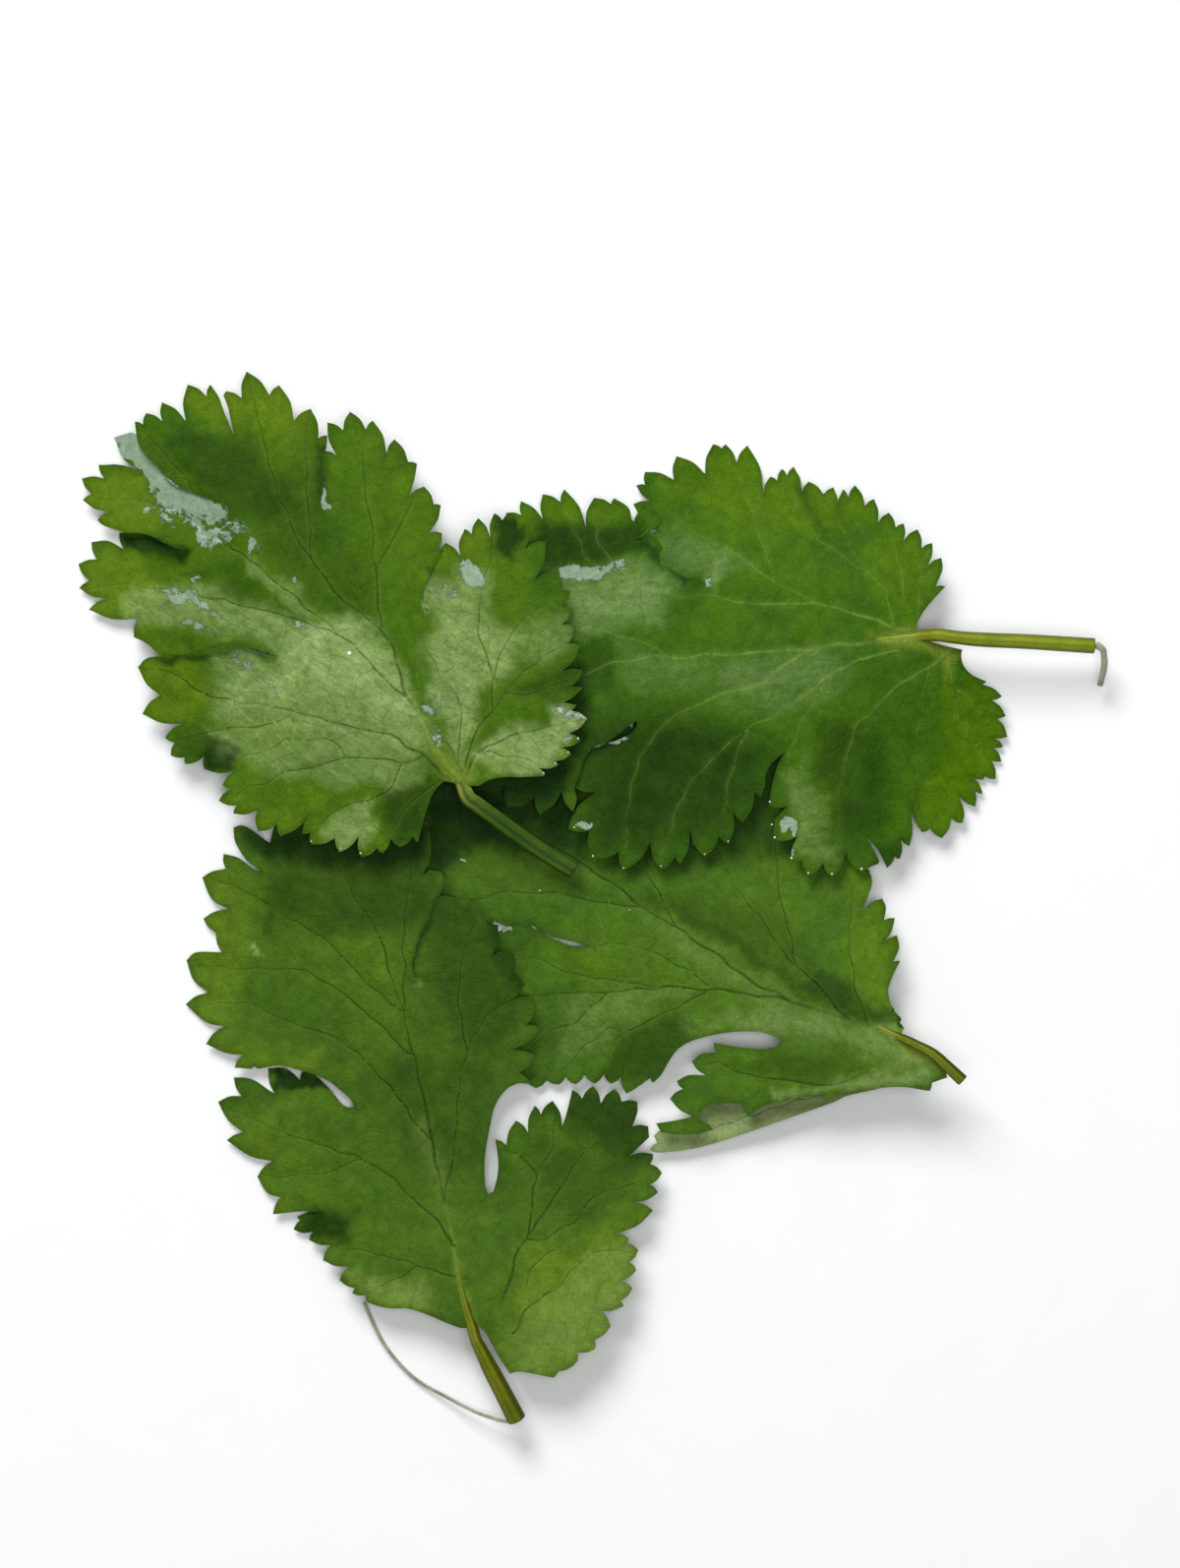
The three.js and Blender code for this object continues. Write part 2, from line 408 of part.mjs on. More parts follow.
// A closed curved sheet over the outline's box, its two faces split alike.
function curvedSheet(outline, heights) {
  const box = new THREE.Box2().setFromPoints(outline).expandByScalar(SHEET_MARGIN);
  const columns = Math.ceil((box.max.x - box.min.x) / GRID_STEP);
  const rows = Math.ceil((box.max.y - box.min.y) / GRID_STEP);
  const layer = (columns + 1) * (rows + 1);
  const positions = [];
  const index = [];
  for (const lift of [0, BLADE_THICKNESS]) {
    for (let row = 0; row <= rows; row += 1) {
      for (let column = 0; column <= columns; column += 1) {
        const x = box.min.x + column * GRID_STEP;
        const y = box.min.y + row * GRID_STEP;
        positions.push(x, y, heightAt(heights, x, y) + lift);
      }
    }
  }
  const at = (column, row) => row * (columns + 1) + column;
  const pair = (a, b, c) => index.push(a, c, b, a + layer, b + layer, c + layer);
  const wall = (a, b) => index.push(a, b, b + layer, a, b + layer, a + layer);
  for (let row = 0; row < rows; row += 1) {
    for (let column = 0; column < columns; column += 1) {
      pair(at(column, row), at(column + 1, row), at(column + 1, row + 1));
      pair(at(column, row), at(column + 1, row + 1), at(column, row + 1));
    }
    wall(at(columns, row), at(columns, row + 1));
    wall(at(0, row + 1), at(0, row));
  }
  for (let column = 0; column < columns; column += 1) {
    wall(at(column, 0), at(column + 1, 0));
    wall(at(column + 1, rows), at(column, rows));
  }
  const geometry = new THREE.BufferGeometry();
  geometry.setAttribute('position', new THREE.Float32BufferAttribute(positions, 3));
  geometry.setIndex(index);
  return geometry;
}

// A blade: the curved sheet cut to the outline, its lobes stepped beside the slits,
// and flat where it would sink below the surface that it rests on.
function bladeGeometry({ margin, heights, steps }) {
  const outline = bladeOutline(margin);
  const prism = new THREE.ExtrudeGeometry(new THREE.Shape(outline), { depth: 30, bevelEnabled: false });
  prism.translate(0, 0, -10);
  const blade = solidOf(curvedSheet(outline, heights)).intersect(solidOf(prism));
  return geometryOf(blade, (x, y, z) => {
    const upperFace = z - heightAt(heights, x, y) > BLADE_THICKNESS / 2;
    const step = steps.reduce((sum, each) => sum + stepAt(each, x, y), 0);
    return Math.max(z + step, upperFace ? BLADE_THICKNESS : 0);
  });
}

// A rod along a route, with a groove along its upper side where groove is above 0.
function rodGeometry(route, sides, groove, steps) {
  const axis = route.map(([x, y, z]) => new THREE.Vector3(planX(x), planY(y), z));
  const curve = new THREE.CatmullRomCurve3(axis);
  const positions = [];
  const index = [];
  const up = new THREE.Vector3(0, 0, 1);
  for (let step = 0; step <= steps; step += 1) {
    const share = step / steps;
    const centre = curve.getPoint(share);
    const across = curve.getTangent(share).cross(up).normalize();
    const place = share * (route.length - 1);
    const before = Math.min(Math.floor(place), route.length - 2);
    const radius = THREE.MathUtils.lerp(route[before][3], route[before + 1][3], place - before);
    for (let i = 0; i < sides; i += 1) {
      const angle = Math.PI / 2 + (2 * Math.PI * i) / sides;
      const reach = radius * (i === 0 ? 1 - groove : 1);
      const point = centre.clone();
      point.addScaledVector(across, Math.cos(angle) * reach).addScaledVector(up, Math.sin(angle) * reach);
      positions.push(...point);
    }
  }
  const first = positions.length / 3;
  positions.push(...curve.getPoint(0), ...curve.getPoint(1));
  for (let i = 0; i < sides; i += 1) {
    const next = (i + 1) % sides;
    for (let step = 0; step < steps; step += 1) {
      const a = step * sides;
      const b = a + sides;
      index.push(a + i, b + next, a + next, a + i, b + i, b + next);
    }
    index.push(first, i, next, first + 1, steps * sides + next, steps * sides + i);
  }
  const geometry = new THREE.BufferGeometry();
  geometry.setAttribute('position', new THREE.Float32BufferAttribute(positions, 3));
  geometry.setIndex(index);
  return geometry;
}

// ----------------------------------------------------------------------- bunch

function meshOf(name, geometry, colour, roughness) {
  const material = new THREE.MeshStandardMaterial({ color: colour, roughness, metalness: 0 });
  const mesh = new THREE.Mesh(geometry, material);
  mesh.name = name;
  return mesh;
}

const bunch = new THREE.Group();
for (const leaf of [lowerLeaf, turnedLobe, leftLeaf, rightLeaf, topLeaf]) {
  bunch.add(meshOf(leaf.name, bladeGeometry(leaf), leaf.colour, 0.45));
}
for (const stalk of stalks) {
  const rod = rodGeometry(stalk.route, STALK_SIDES, STALK_GROOVE, 12);
  bunch.add(meshOf(stalk.name, rod, COLOURS.stalk, 0.4));
}
for (const strand of strands) {
  const rod = rodGeometry(strand.route, STRAND_SIDES, 0, strand.steps);
  bunch.add(meshOf(strand.name, rod, COLOURS.driedFibre, 0.7));
}

export default bunch;
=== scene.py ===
import math

import bmesh
import bpy
import numpy as np
from mathutils import Matrix, Vector, geometry, noise
from mathutils.bvhtree import BVHTree
from mathutils.kdtree import KDTree


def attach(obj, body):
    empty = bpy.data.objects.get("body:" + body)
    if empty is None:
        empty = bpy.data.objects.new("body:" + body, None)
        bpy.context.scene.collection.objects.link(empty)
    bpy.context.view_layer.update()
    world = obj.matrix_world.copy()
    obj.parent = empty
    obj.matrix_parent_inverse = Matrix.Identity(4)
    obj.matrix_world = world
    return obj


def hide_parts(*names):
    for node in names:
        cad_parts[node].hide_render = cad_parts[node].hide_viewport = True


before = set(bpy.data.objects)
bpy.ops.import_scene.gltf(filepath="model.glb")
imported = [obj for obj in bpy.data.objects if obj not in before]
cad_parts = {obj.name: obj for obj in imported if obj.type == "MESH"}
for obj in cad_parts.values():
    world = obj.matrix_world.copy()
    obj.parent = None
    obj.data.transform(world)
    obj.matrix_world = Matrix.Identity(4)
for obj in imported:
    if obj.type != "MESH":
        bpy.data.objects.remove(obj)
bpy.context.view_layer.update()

# A coriander bunch: four toothed leaves lying over one another, seen from straight above.
# Lengths are in mm up to the point where a mesh is made, and in metres there. What is drawn
# on the leaves is given in plan units, as texts of x,y pairs.

MM = 0.001
PLAN_STEP = 0.08             # one plan unit in mm, as in the CAD source
PLAN_CENTRE = (602.4, 912.1)  # the plan point over the origin; plan y runs towards -Y
PLAN_FRAME = (1200, 1594)    # the plan units that the camera's frame takes in

OUTLINE_STEP = 0.16          # spacing of the points along a leaf's margin
MARGIN_CLEARANCE = 0.1       # a vein's points nearer to the margin than this are dropped
VEIN_POINT_GAP = 0.06        # vein points nearer to one another than about this are thinned out
FILL_STEP = 0.22             # spacing of the points that fill the rest of a leaf
FILL_JITTER = 0.12           # how far they are pushed about, and how near they come to other points,
FILL_CLEARANCE = 0.62        # both as shares of their spacing
CORNER = math.radians(42)    # a margin point that turns by more than this stays sharp
STRAIGHT = math.radians(2)   # one that turns by less than this is dropped
SMOOTHING_ROUNDS = 90
LEAF_THICKNESS = 0.26
RIM_THICKNESS = 0.09
RIM_WIDTH = 0.45
LEAF_DROP = 0.17             # the leaf's upper face lies this far under the solid's
FLOOR_GAP = 0.01             # the leaf's lower face lies at least this far above the floor
VEIN_STEP = 0.28             # spacing of the points along a vein
VEIN_ROWS = (0, -1, 1, -2.2, 2.2)  # rows of points along a vein, in half-widths from its middle
VEIN_SHARE = 0.42            # the half-width of a vein's line, as a share of the width listed
VEIN_WANDER = 0.16           # how far a vein strays from its drawn route
WANDER_LENGTH = 2.4          # and over what length it does so
VEIN_LEAST = 0.065           # the least half-width of a vein's line
VEIN_FADE = 0.5              # a vein's strength at its tip
RIDGE_HEIGHT = 0.07
GROOVE_DEPTH = 0.06
VEIN_BELOW = 0.07            # how far a vein stands out from the lower face
QUILTING = 0.15              # how far the blade swells between its veins
WAVE_HEIGHT = 0.07           # the blade's slow waves, and the ripples on them
WAVE_LENGTH = 6.5
RIPPLE_HEIGHT = 0.025
RIPPLE_LENGTH = 2.4
RIPPLE_WAVES = 9             # waves that a ripple is the sum of
CELL_SIZE = 1.7              # size of the cushions between the smallest veins
CELL_HEIGHT = 0.04
LAP_STEP = 0.1               # spacing of the points along a lap's route

# How far, in mm, the drawn edges of each kind of zone stray.
ZONE_STRAY = {"painted_sheen": 0.5, "shadow_and_deep": 0.35, "fresh_and_glow": 0.6, "water_and_glint": 0.35, "hub": 0.25}

rng = np.random.default_rng(7)


def plan(x, y):
    """A plan point in mm."""
    return ((x - PLAN_CENTRE[0]) * PLAN_STEP, (PLAN_CENTRE[1] - y) * PLAN_STEP)


def drawn(text):
    """The plan points of a text such as "468,795 455,775", in mm."""
    return [plan(*map(float, pair.split(","))) for pair in text.split()]


def smoothstep(low, high, value):
    share = np.clip((value - low) / (high - low), 0, 1)
    return share * share * (3 - 2 * share)


def bell(distance, width):
    """1 where the distance is 0, and next to nothing at twice the width."""
    return np.exp(-(distance / width) ** 2)


# ------------------------------------------------------------------ curves

def catmull_rom(points, step):
    """A smooth curve through the points, with a point about every step."""
    points = np.asarray(points, float)
    if len(points) < 3:
        count = max(int(np.linalg.norm(points[-1] - points[0]) / step), 1)
        return points[0] + (points[-1] - points[0]) * np.linspace(0, 1, count + 1)[:, None]
    padded = np.vstack([2 * points[0] - points[1], points, 2 * points[-1] - points[-2]])
    curve = [points[0]]
    for before, start, end, after in zip(padded, padded[1:], padded[2:], padded[3:]):
        count = max(int(round(np.linalg.norm(end - start) / step)), 1)
        t = np.linspace(0, 1, count + 1)[1:, None]
        curve.extend(0.5 * (2 * start + (end - before) * t
                            + (2 * before - 5 * start + 4 * end - after) * t ** 2
                            + (3 * start - before - 3 * end + after) * t ** 3))
    return np.array(curve)


def directions(curve):
    """The curve's unit direction at each of its points."""
    along = np.gradient(curve, axis=0)
    return along / np.linalg.norm(along, axis=1)[:, None]


def leftward(curve):
    """The unit direction to the left of a plan curve at each of its points."""
    along = directions(curve)
    return np.column_stack([-along[:, 1], along[:, 0]])


def turning(loop):
    """How far a closed loop turns at each of its points, in radians."""
    before = loop - np.roll(loop, 1, axis=0)
    after = np.roll(loop, -1, axis=0) - loop
    cross = before[:, 0] * after[:, 1] - before[:, 1] * after[:, 0]
    return np.arctan2(cross, (before * after).sum(1))


def rounded_margin(loop):
    """A leaf's margin with its tips and notches sharp and the stretches between them curved."""
    loop = loop[np.abs(turning(loop)) > STRAIGHT]
    corners = np.flatnonzero(np.abs(turning(loop)) > CORNER)
    loop = np.roll(loop, -corners[0], axis=0)
    corners = list(corners - corners[0]) + [len(loop)]
    closed = np.vstack([loop, loop[:1]])
    return np.vstack([catmull_rom(closed[a:b + 1], OUTLINE_STEP)[:-1] for a, b in zip(corners, corners[1:])])


# ------------------------------------------------------------------ meshes

def welded(node):
    """A CAD node's points in mm, and its triangles."""
    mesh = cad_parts[node].data
    mesh.calc_loop_triangles()
    raw = np.array([vertex.co for vertex in mesh.vertices]) / MM
    points, place = np.unique(np.round(raw, 3), axis=0, return_inverse=True)
    return points, place.reshape(-1)[np.array([t.vertices for t in mesh.loop_triangles])]


def new_mesh(name, vertices, faces):
    """A smooth-shaded mesh from points in mm."""
    mesh = bpy.data.meshes.new(name)
    mesh.from_pydata([tuple(v * MM) for v in vertices], [], faces)
    mesh.validate()
    mesh.shade_smooth()
    return mesh


def store(mesh, name, values):
    """Keeps a number for each point, for the material to read."""
    layer = mesh.attributes.new(name, "FLOAT", "POINT")
    layer.data.foreach_set("value", np.asarray(values, np.float32))


def add_piece(mesh, material, slot, *nodes):
    """An object of the mesh, in the place of the CAD nodes named."""
    mesh.materials.append(material)
    piece = bpy.data.objects.new(mesh.name, mesh)
    bpy.context.scene.collection.objects.link(piece)
    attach(piece, "root")
    if nodes:
        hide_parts(*nodes)
    return piece


def nearest(points, marks):
    """For each point, the index of the nearest mark and the distance to it."""
    tree = KDTree(len(marks))
    for i, mark in enumerate(marks):
        tree.insert((mark[0], mark[1], 0), i)
    tree.balance()
    found = [tree.find((x, y, 0)) for x, y in points]
    return np.array([f[1] for f in found]), np.array([f[2] for f in found])


# ----------------------------------------------------------- a leaf's plan

def upper_face(node):
    """The points, in mm, and the triangles of a CAD blade's upper face."""
    points, triangles = welded(node)
    a, b, c = (points[triangles[:, i]] for i in range(3))
    normals = np.cross(b - a, c - a)
    up = normals[:, 2] > 0.05 * np.linalg.norm(normals, axis=1)
    return points, triangles[up]


def boundary_loop(triangles):
    """The longest loop of edges that only one triangle uses."""
    edges = {edge: True for a, b, c in triangles for edge in ((a, b), (b, c), (c, a))}
    onward = {a: b for a, b in edges if (b, a) not in edges}
    loops = []
    while onward:
        start, place = onward.popitem()
        loop = [start]
        while place != start and place in onward:
            loop.append(place)
            place = onward.pop(place)
        loops.append(loop)
    return max(loops, key=len)


def half_widths(start, end, count):
    """The half-widths of a vein's line at so many points along it."""
    return np.maximum(VEIN_LEAST, VEIN_SHARE * np.linspace(start, end, count))


def vein_rows(veins, seed):
    """Points along every vein and to both sides of it, and a row for each point of its centre line.

    That row holds the point's place, the vein's half-width there and its strength there.
    """
    rows, centres = [], []
    for start, end, route in veins:
        curve = catmull_rom(drawn(route), VEIN_STEP)
        curve = curve + VEIN_WANDER * pushes(curve, WANDER_LENGTH, seed + 90)
        across = leftward(curve)
        width = half_widths(start, end, len(curve))
        rows += [curve + across * (width * share)[:, None] for share in VEIN_ROWS]
        fine = catmull_rom(curve, VEIN_STEP / 4)
        strength = np.linspace(1, VEIN_FADE, len(fine))
        centres.append(np.column_stack([fine, half_widths(start, end, len(fine)), strength]))
    return np.vstack(rows), np.vstack(centres)


def thinned(points, gap):
    """The points without those that share a cell of that size with an earlier one."""
    _, first = np.unique(np.round(points / gap).astype(int), axis=0, return_index=True)
    return points[np.sort(first)]


def filling(margin, keep_off):
    """A jittered grid of points over the margin's box, clear of the points given."""
    low, high = margin.min(0), margin.max(0)
    rows = np.arange(low[1], high[1], FILL_STEP * math.sqrt(3) / 2)
    columns = np.arange(low[0], high[0], FILL_STEP)
    x, y = np.meshgrid(columns, rows)
    x = x + (np.arange(len(rows)) % 2)[:, None] * FILL_STEP / 2
    points = np.column_stack([x.ravel(), y.ravel()])
    points += rng.uniform(-FILL_JITTER, FILL_JITTER, points.shape) * FILL_STEP
    _, distance = nearest(points, keep_off)
    return points[distance > FILL_CLEARANCE * FILL_STEP]


def triangulated(margin, inner):
    """Points and triangles that fill the margin."""
    start = [Vector(p) for p in np.vstack([margin, inner])]
    ring = [list(range(len(margin)))]
    points, _, faces, _, _, _ = geometry.delaunay_2d_cdt(start, [], ring, 1, 1e-5)
    points = np.array([tuple(p) for p in points])
    triangles = np.array([f for f in faces if len(f) == 3])
    used, place = np.unique(triangles, return_inverse=True)
    return points[used], place.reshape(-1, 3)


def surface_height(points, solid_points, solid_triangles):
    """The height of the CAD face over each plan point."""
    flat = [tuple(p) for p in solid_points * [1, 1, 0]]
    tree = BVHTree.FromPolygons(flat, solid_triangles.tolist())
    heights = np.empty(len(points))
    for i, (x, y) in enumerate(points):
        place, _, face, _ = tree.find_nearest((x, y, 0))
        a, b, c = solid_points[solid_triangles[face]]
        split = np.array([b[:2] - a[:2], c[:2] - a[:2]]).T
        share = np.linalg.solve(split, np.array(place)[:2] - a[:2])
        heights[i] = a[2] + share[0] * (b[2] - a[2]) + share[1] * (c[2] - a[2])
    return heights


def relaxed(values, triangles, rounds):
    """The values smoothed over the mesh."""
    edges = np.vstack([triangles[:, [0, 1]], triangles[:, [1, 2]], triangles[:, [2, 0]]])
    edges = np.unique(np.sort(edges, axis=1), axis=0)
    ends = np.concatenate([edges[:, 0], edges[:, 1]])
    others = np.concatenate([edges[:, 1], edges[:, 0]])
    count = np.bincount(ends, minlength=len(values))
    for _ in range(rounds):
        total = np.bincount(ends, weights=values[others], minlength=len(values))
        values = 0.4 * values + 0.6 * total / count
    return values


def leaf_plan(node, veins, seed):
    """A leaf's points, triangles and heights, each point's distance from the margin, and vein centres."""
    solid_points, solid_triangles = upper_face(node)
    loop = boundary_loop([tuple(t) for t in solid_triangles])
    margin = rounded_margin(solid_points[loop][:, :2])
    rows, centres = vein_rows(veins, seed)
    _, clear = nearest(rows, margin)
    rows = thinned(rows[clear > MARGIN_CLEARANCE], VEIN_POINT_GAP)
    fill = filling(margin, np.vstack([margin, rows]))
    points, triangles = triangulated(margin, np.vstack([rows, fill]))
    height = surface_height(points, solid_points, solid_triangles)
    _, rim = nearest(points, margin)
    return points, triangles, relaxed(height, triangles, SMOOTHING_ROUNDS), rim, centres


# --------------------------------------------- what changes over the leaf

def ripple(points, wavelength, seed):
    """A smooth random ripple between about -1 and 1."""
    draw = np.random.default_rng(seed)
    total = np.zeros(len(points))
    for _ in range(RIPPLE_WAVES):
        angle = draw.uniform(0, 2 * math.pi)
        length = wavelength * draw.uniform(0.7, 1.6)
        total += np.sin((points @ [math.cos(angle), math.sin(angle)]) * 2 * math.pi / length
                        + draw.uniform(0, 2 * math.pi))
    return 2 * total / RIPPLE_WAVES


def pushes(points, wavelength, seed):
    """A smooth random push across the plan for each point, up to about 1 each way."""
    return np.column_stack([ripple(points, wavelength, seed), ripple(points, wavelength, seed + 1)])


def cushions(points, seed):
    """Raised cells between sunken seams: 0 on a seam and 1 in the middle of a large cell."""
    shift = Vector((0, 0, 3.7 * seed))
    places = np.column_stack([points / CELL_SIZE, np.zeros(len(points))])
    nearest_two = [noise.voronoi(Vector(place) + shift)[0][:2] for place in places]
    return smoothstep(0, 0.5, np.array([second - first for first, second in nearest_two]))


def strayed(points, reach, seed):
    """The points pushed about by up to about reach mm, so that what is drawn from them looks torn."""
    return points + reach * (pushes(points, 3.4, seed) + 0.45 * pushes(points, 1.1, seed + 2))


def lap(shift, rise, reach, closing, route):
    """A lobe's edge drawn shift mm across the route and raised by rise, out to reach mm from it.

    Both die away over the last share of the route that closing gives.
    """
    curve = catmull_rom(drawn(route), LAP_STEP)
    across = leftward(curve)

    def moved(points):
        index, distance = nearest(points, curve)
        side = ((points - curve[index]) * across[index]).sum(1)
        left = 1 - index / (len(curve) - 1)
        amount = smoothstep(0, closing, left) if closing else 1
        amount = amount * smoothstep(reach, 0, distance) * (side * np.sign(shift) < 0)
        return across[index] * (shift * amount)[:, None], rise * amount

    return moved


def tuck(move, rise, reach, opening, closing, route, around):
    """A lobe's edge pushed by move plan units and raised by rise.

    It takes in what lies between the route and the corners around it, less and less out to
    reach mm from the route, over its first opening mm and over its last closing mm.
    """
    marks = drawn(route)
    curve = np.vstack([catmull_rom(pair, LAP_STEP) for pair in zip(marks, marks[1:])])
    zone = np.vstack([curve, drawn(around)])
    step = np.array([move[0], -move[1]]) * PLAN_STEP

    def moved(points):
        index, distance = nearest(points, curve)
        left = np.linalg.norm(curve[index] - curve[-1], axis=1) / closing
        if opening:
            left = np.minimum(left, np.linalg.norm(curve[index] - curve[0], axis=1) / opening)
        left = np.clip(left, 0.001, 1)
        amount = left * smoothstep(reach, 0, distance / left) * inside(points, zone)
        return np.outer(amount, step), rise * amount

    return moved


def lapped(points, laps):
    """How far the laps and tucks move each point across the plan, and how far up."""
    moves, rises = np.zeros_like(points), np.zeros(len(points))
    for moved in laps:
        move, rise = moved(points)
        moves += move
        rises += rise
    return moves, rises


def inside(points, corners):
    """Whether each point lies within the corners."""
    found = np.zeros(len(points), bool)
    for start, end in zip(corners, np.roll(corners, -1, axis=0)):
        run = end - start
        crosses = (start[1] > points[:, 1]) != (end[1] > points[:, 1])
        rise = run[1] if run[1] else 1e-9
        found ^= crosses & (points[:, 0] < start[0] + (points[:, 1] - start[1]) / rise * run[0])
    return found


def side_distance(points, corners):
    """The distance from each point to the nearest side between the corners."""
    distance = np.full(len(points), np.inf)
    for start, end in zip(corners, np.roll(corners, -1, axis=0)):
        run = end - start
        offset = points - start
        share = np.clip(offset @ run / (run @ run), 0, 1)
        distance = np.minimum(distance, np.linalg.norm(offset - share[:, None] * run, axis=1))
    return distance


def zone_amount(points, zones):
    """Soft-edged zones, each given as its edge's softness in plan units, its amount and its corners."""
    rest = np.ones(len(points))
    for soft, amount, outline in zones:
        corners = np.array(drawn(outline))
        distance = side_distance(points, corners)
        depth = np.where(inside(points, corners), distance, -distance) / (soft * PLAN_STEP)
        rest *= 1 - amount * smoothstep(-1, 1, depth)
    return 1 - rest


# ------------------------------------------------------------------ leaves

def closed_blade(name, plan_points, top, bottom, triangles):
    """A blade's mesh from its two faces and the rim between them, which has sharp edges."""
    count = len(plan_points)
    vertices = np.vstack([np.column_stack([plan_points, top]), np.column_stack([plan_points, bottom])])
    loop = boundary_loop([tuple(t) for t in triangles])
    ahead = dict(zip(loop, loop[1:] + loop[:1]))
    faces = [tuple(int(i) for i in t) for t in triangles]
    faces += [tuple(int(i) + count for i in t[::-1]) for t in triangles]
    faces += [(int(b), int(a), int(a) + count, int(b) + count) for a, b in ahead.items()]
    mesh = new_mesh(name, vertices, faces)
    ends = np.array([edge.vertices for edge in mesh.edges]) % count
    sharp = [bool(ahead.get(a) == b or ahead.get(b) == a) for a, b in ends.tolist()]
    mesh.attributes.new("sharp_edge", "BOOLEAN", "EDGE").data.foreach_set("value", sharp)
    return mesh


def store_faces(mesh, name, above, below):
    """Keeps a number for each point of the upper face and each of the lower."""
    store(mesh, name, np.concatenate([above, below]))


def vein_pattern(points, centres, pale_from):
    """What the nearest vein does at each point.

    That is how far the point lies in it, how far the vein is a ridge, its strength, how much the
    blade swells beside it, and how much of its colour the blade takes on.
    """
    index, distance = nearest(points, centres[:, :2])
    width = centres[index, 2]
    strength = centres[index, 3] * (0.65 + 0.35 * smoothstep(VEIN_LEAST, 2 * VEIN_LEAST, width))
    vein = np.clip(1 - distance / (1.5 * width), 0, 1)
    raised = smoothstep(pale_from * VEIN_SHARE, 1.5 * pale_from * VEIN_SHARE, width)
    swell = 1 - bell(distance, 0.45 + 3 * width)
    return vein, raised, strength, swell, bell(distance, 0.3) * strength


def leaf_blade(name, node, slot, material, veins, laps, zones, seed, pale_from):
    """A thin veined blade that takes the place of a CAD blade.

    A vein is a groove, darkened with painted shade, where the width listed is pale_from mm or less,
    and a pale ridge where it is half as much again or more.
    """
    points, triangles, height, rim, centres = leaf_plan(node, veins, seed)
    vein, raised, strength, swell, beside = vein_pattern(points, centres, pale_from)
    cushion = cushions(strayed(points, 0.25, seed + 20), seed)
    relief = QUILTING * strength * (swell - 0.6) + CELL_HEIGHT * (cushion - 0.5)
    relief += (RIDGE_HEIGHT * raised - GROOVE_DEPTH * (1 - raised)) * vein * strength
    relief += (WAVE_HEIGHT * ripple(points, WAVE_LENGTH, seed)
               + RIPPLE_HEIGHT * ripple(points, RIPPLE_LENGTH, seed + 50))
    edge = smoothstep(0, RIM_WIDTH, rim)
    moves, rises = lapped(points, laps)
    top = height - LEAF_DROP + relief + rises
    thickness = RIM_THICKNESS + (LEAF_THICKNESS - RIM_THICKNESS) * edge
    bottom = top - thickness - VEIN_BELOW * vein * edge
    lift = np.maximum(0, FLOOR_GAP - bottom)

    mesh = closed_blade(name, points + moves, top + lift, bottom + lift, triangles)
    none = np.zeros(len(points))
    store_faces(mesh, "below", none, none + 1)
    store_faces(mesh, "vein", vein * raised * strength, vein * strength)
    store_faces(mesh, "groove", vein * (1 - raised) * strength, none)
    for kind, values in (("vein_near", beside), ("cushion", cushion), ("rim", bell(rim, 0.3))):
        store_faces(mesh, kind, values, values)
    for kind, reach in ZONE_STRAY.items():
        store_faces(mesh, kind, zone_amount(strayed(points, reach, seed + 30), zones.get(kind, ())), none)
    return add_piece(mesh, material, slot, node)


# --------------------------------------------------------------- materials

def colour(r, g, b):
    """An sRGB colour of 0 to 255 as linear light."""
    return tuple(((c / 255 + 0.055) / 1.055) ** 2.4 if c > 10 else c / 255 / 12.92 for c in (r, g, b))


UNDERSIDE = colour(134, 158, 98)
VEIN_NET = colour(104, 134, 36)
VEIN_HUB = colour(142, 160, 56)
# The pale colours of water on the leaves: a painted reflection, used also for painted glints on raised
# edges.
WATER_REFLECTION = (colour(136, 162, 132), colour(156, 180, 158))
GROOVE_SHADE = (0.3, 0.37, 0.25)  # painted shade in the vein grooves: multiplies the leaf's colour
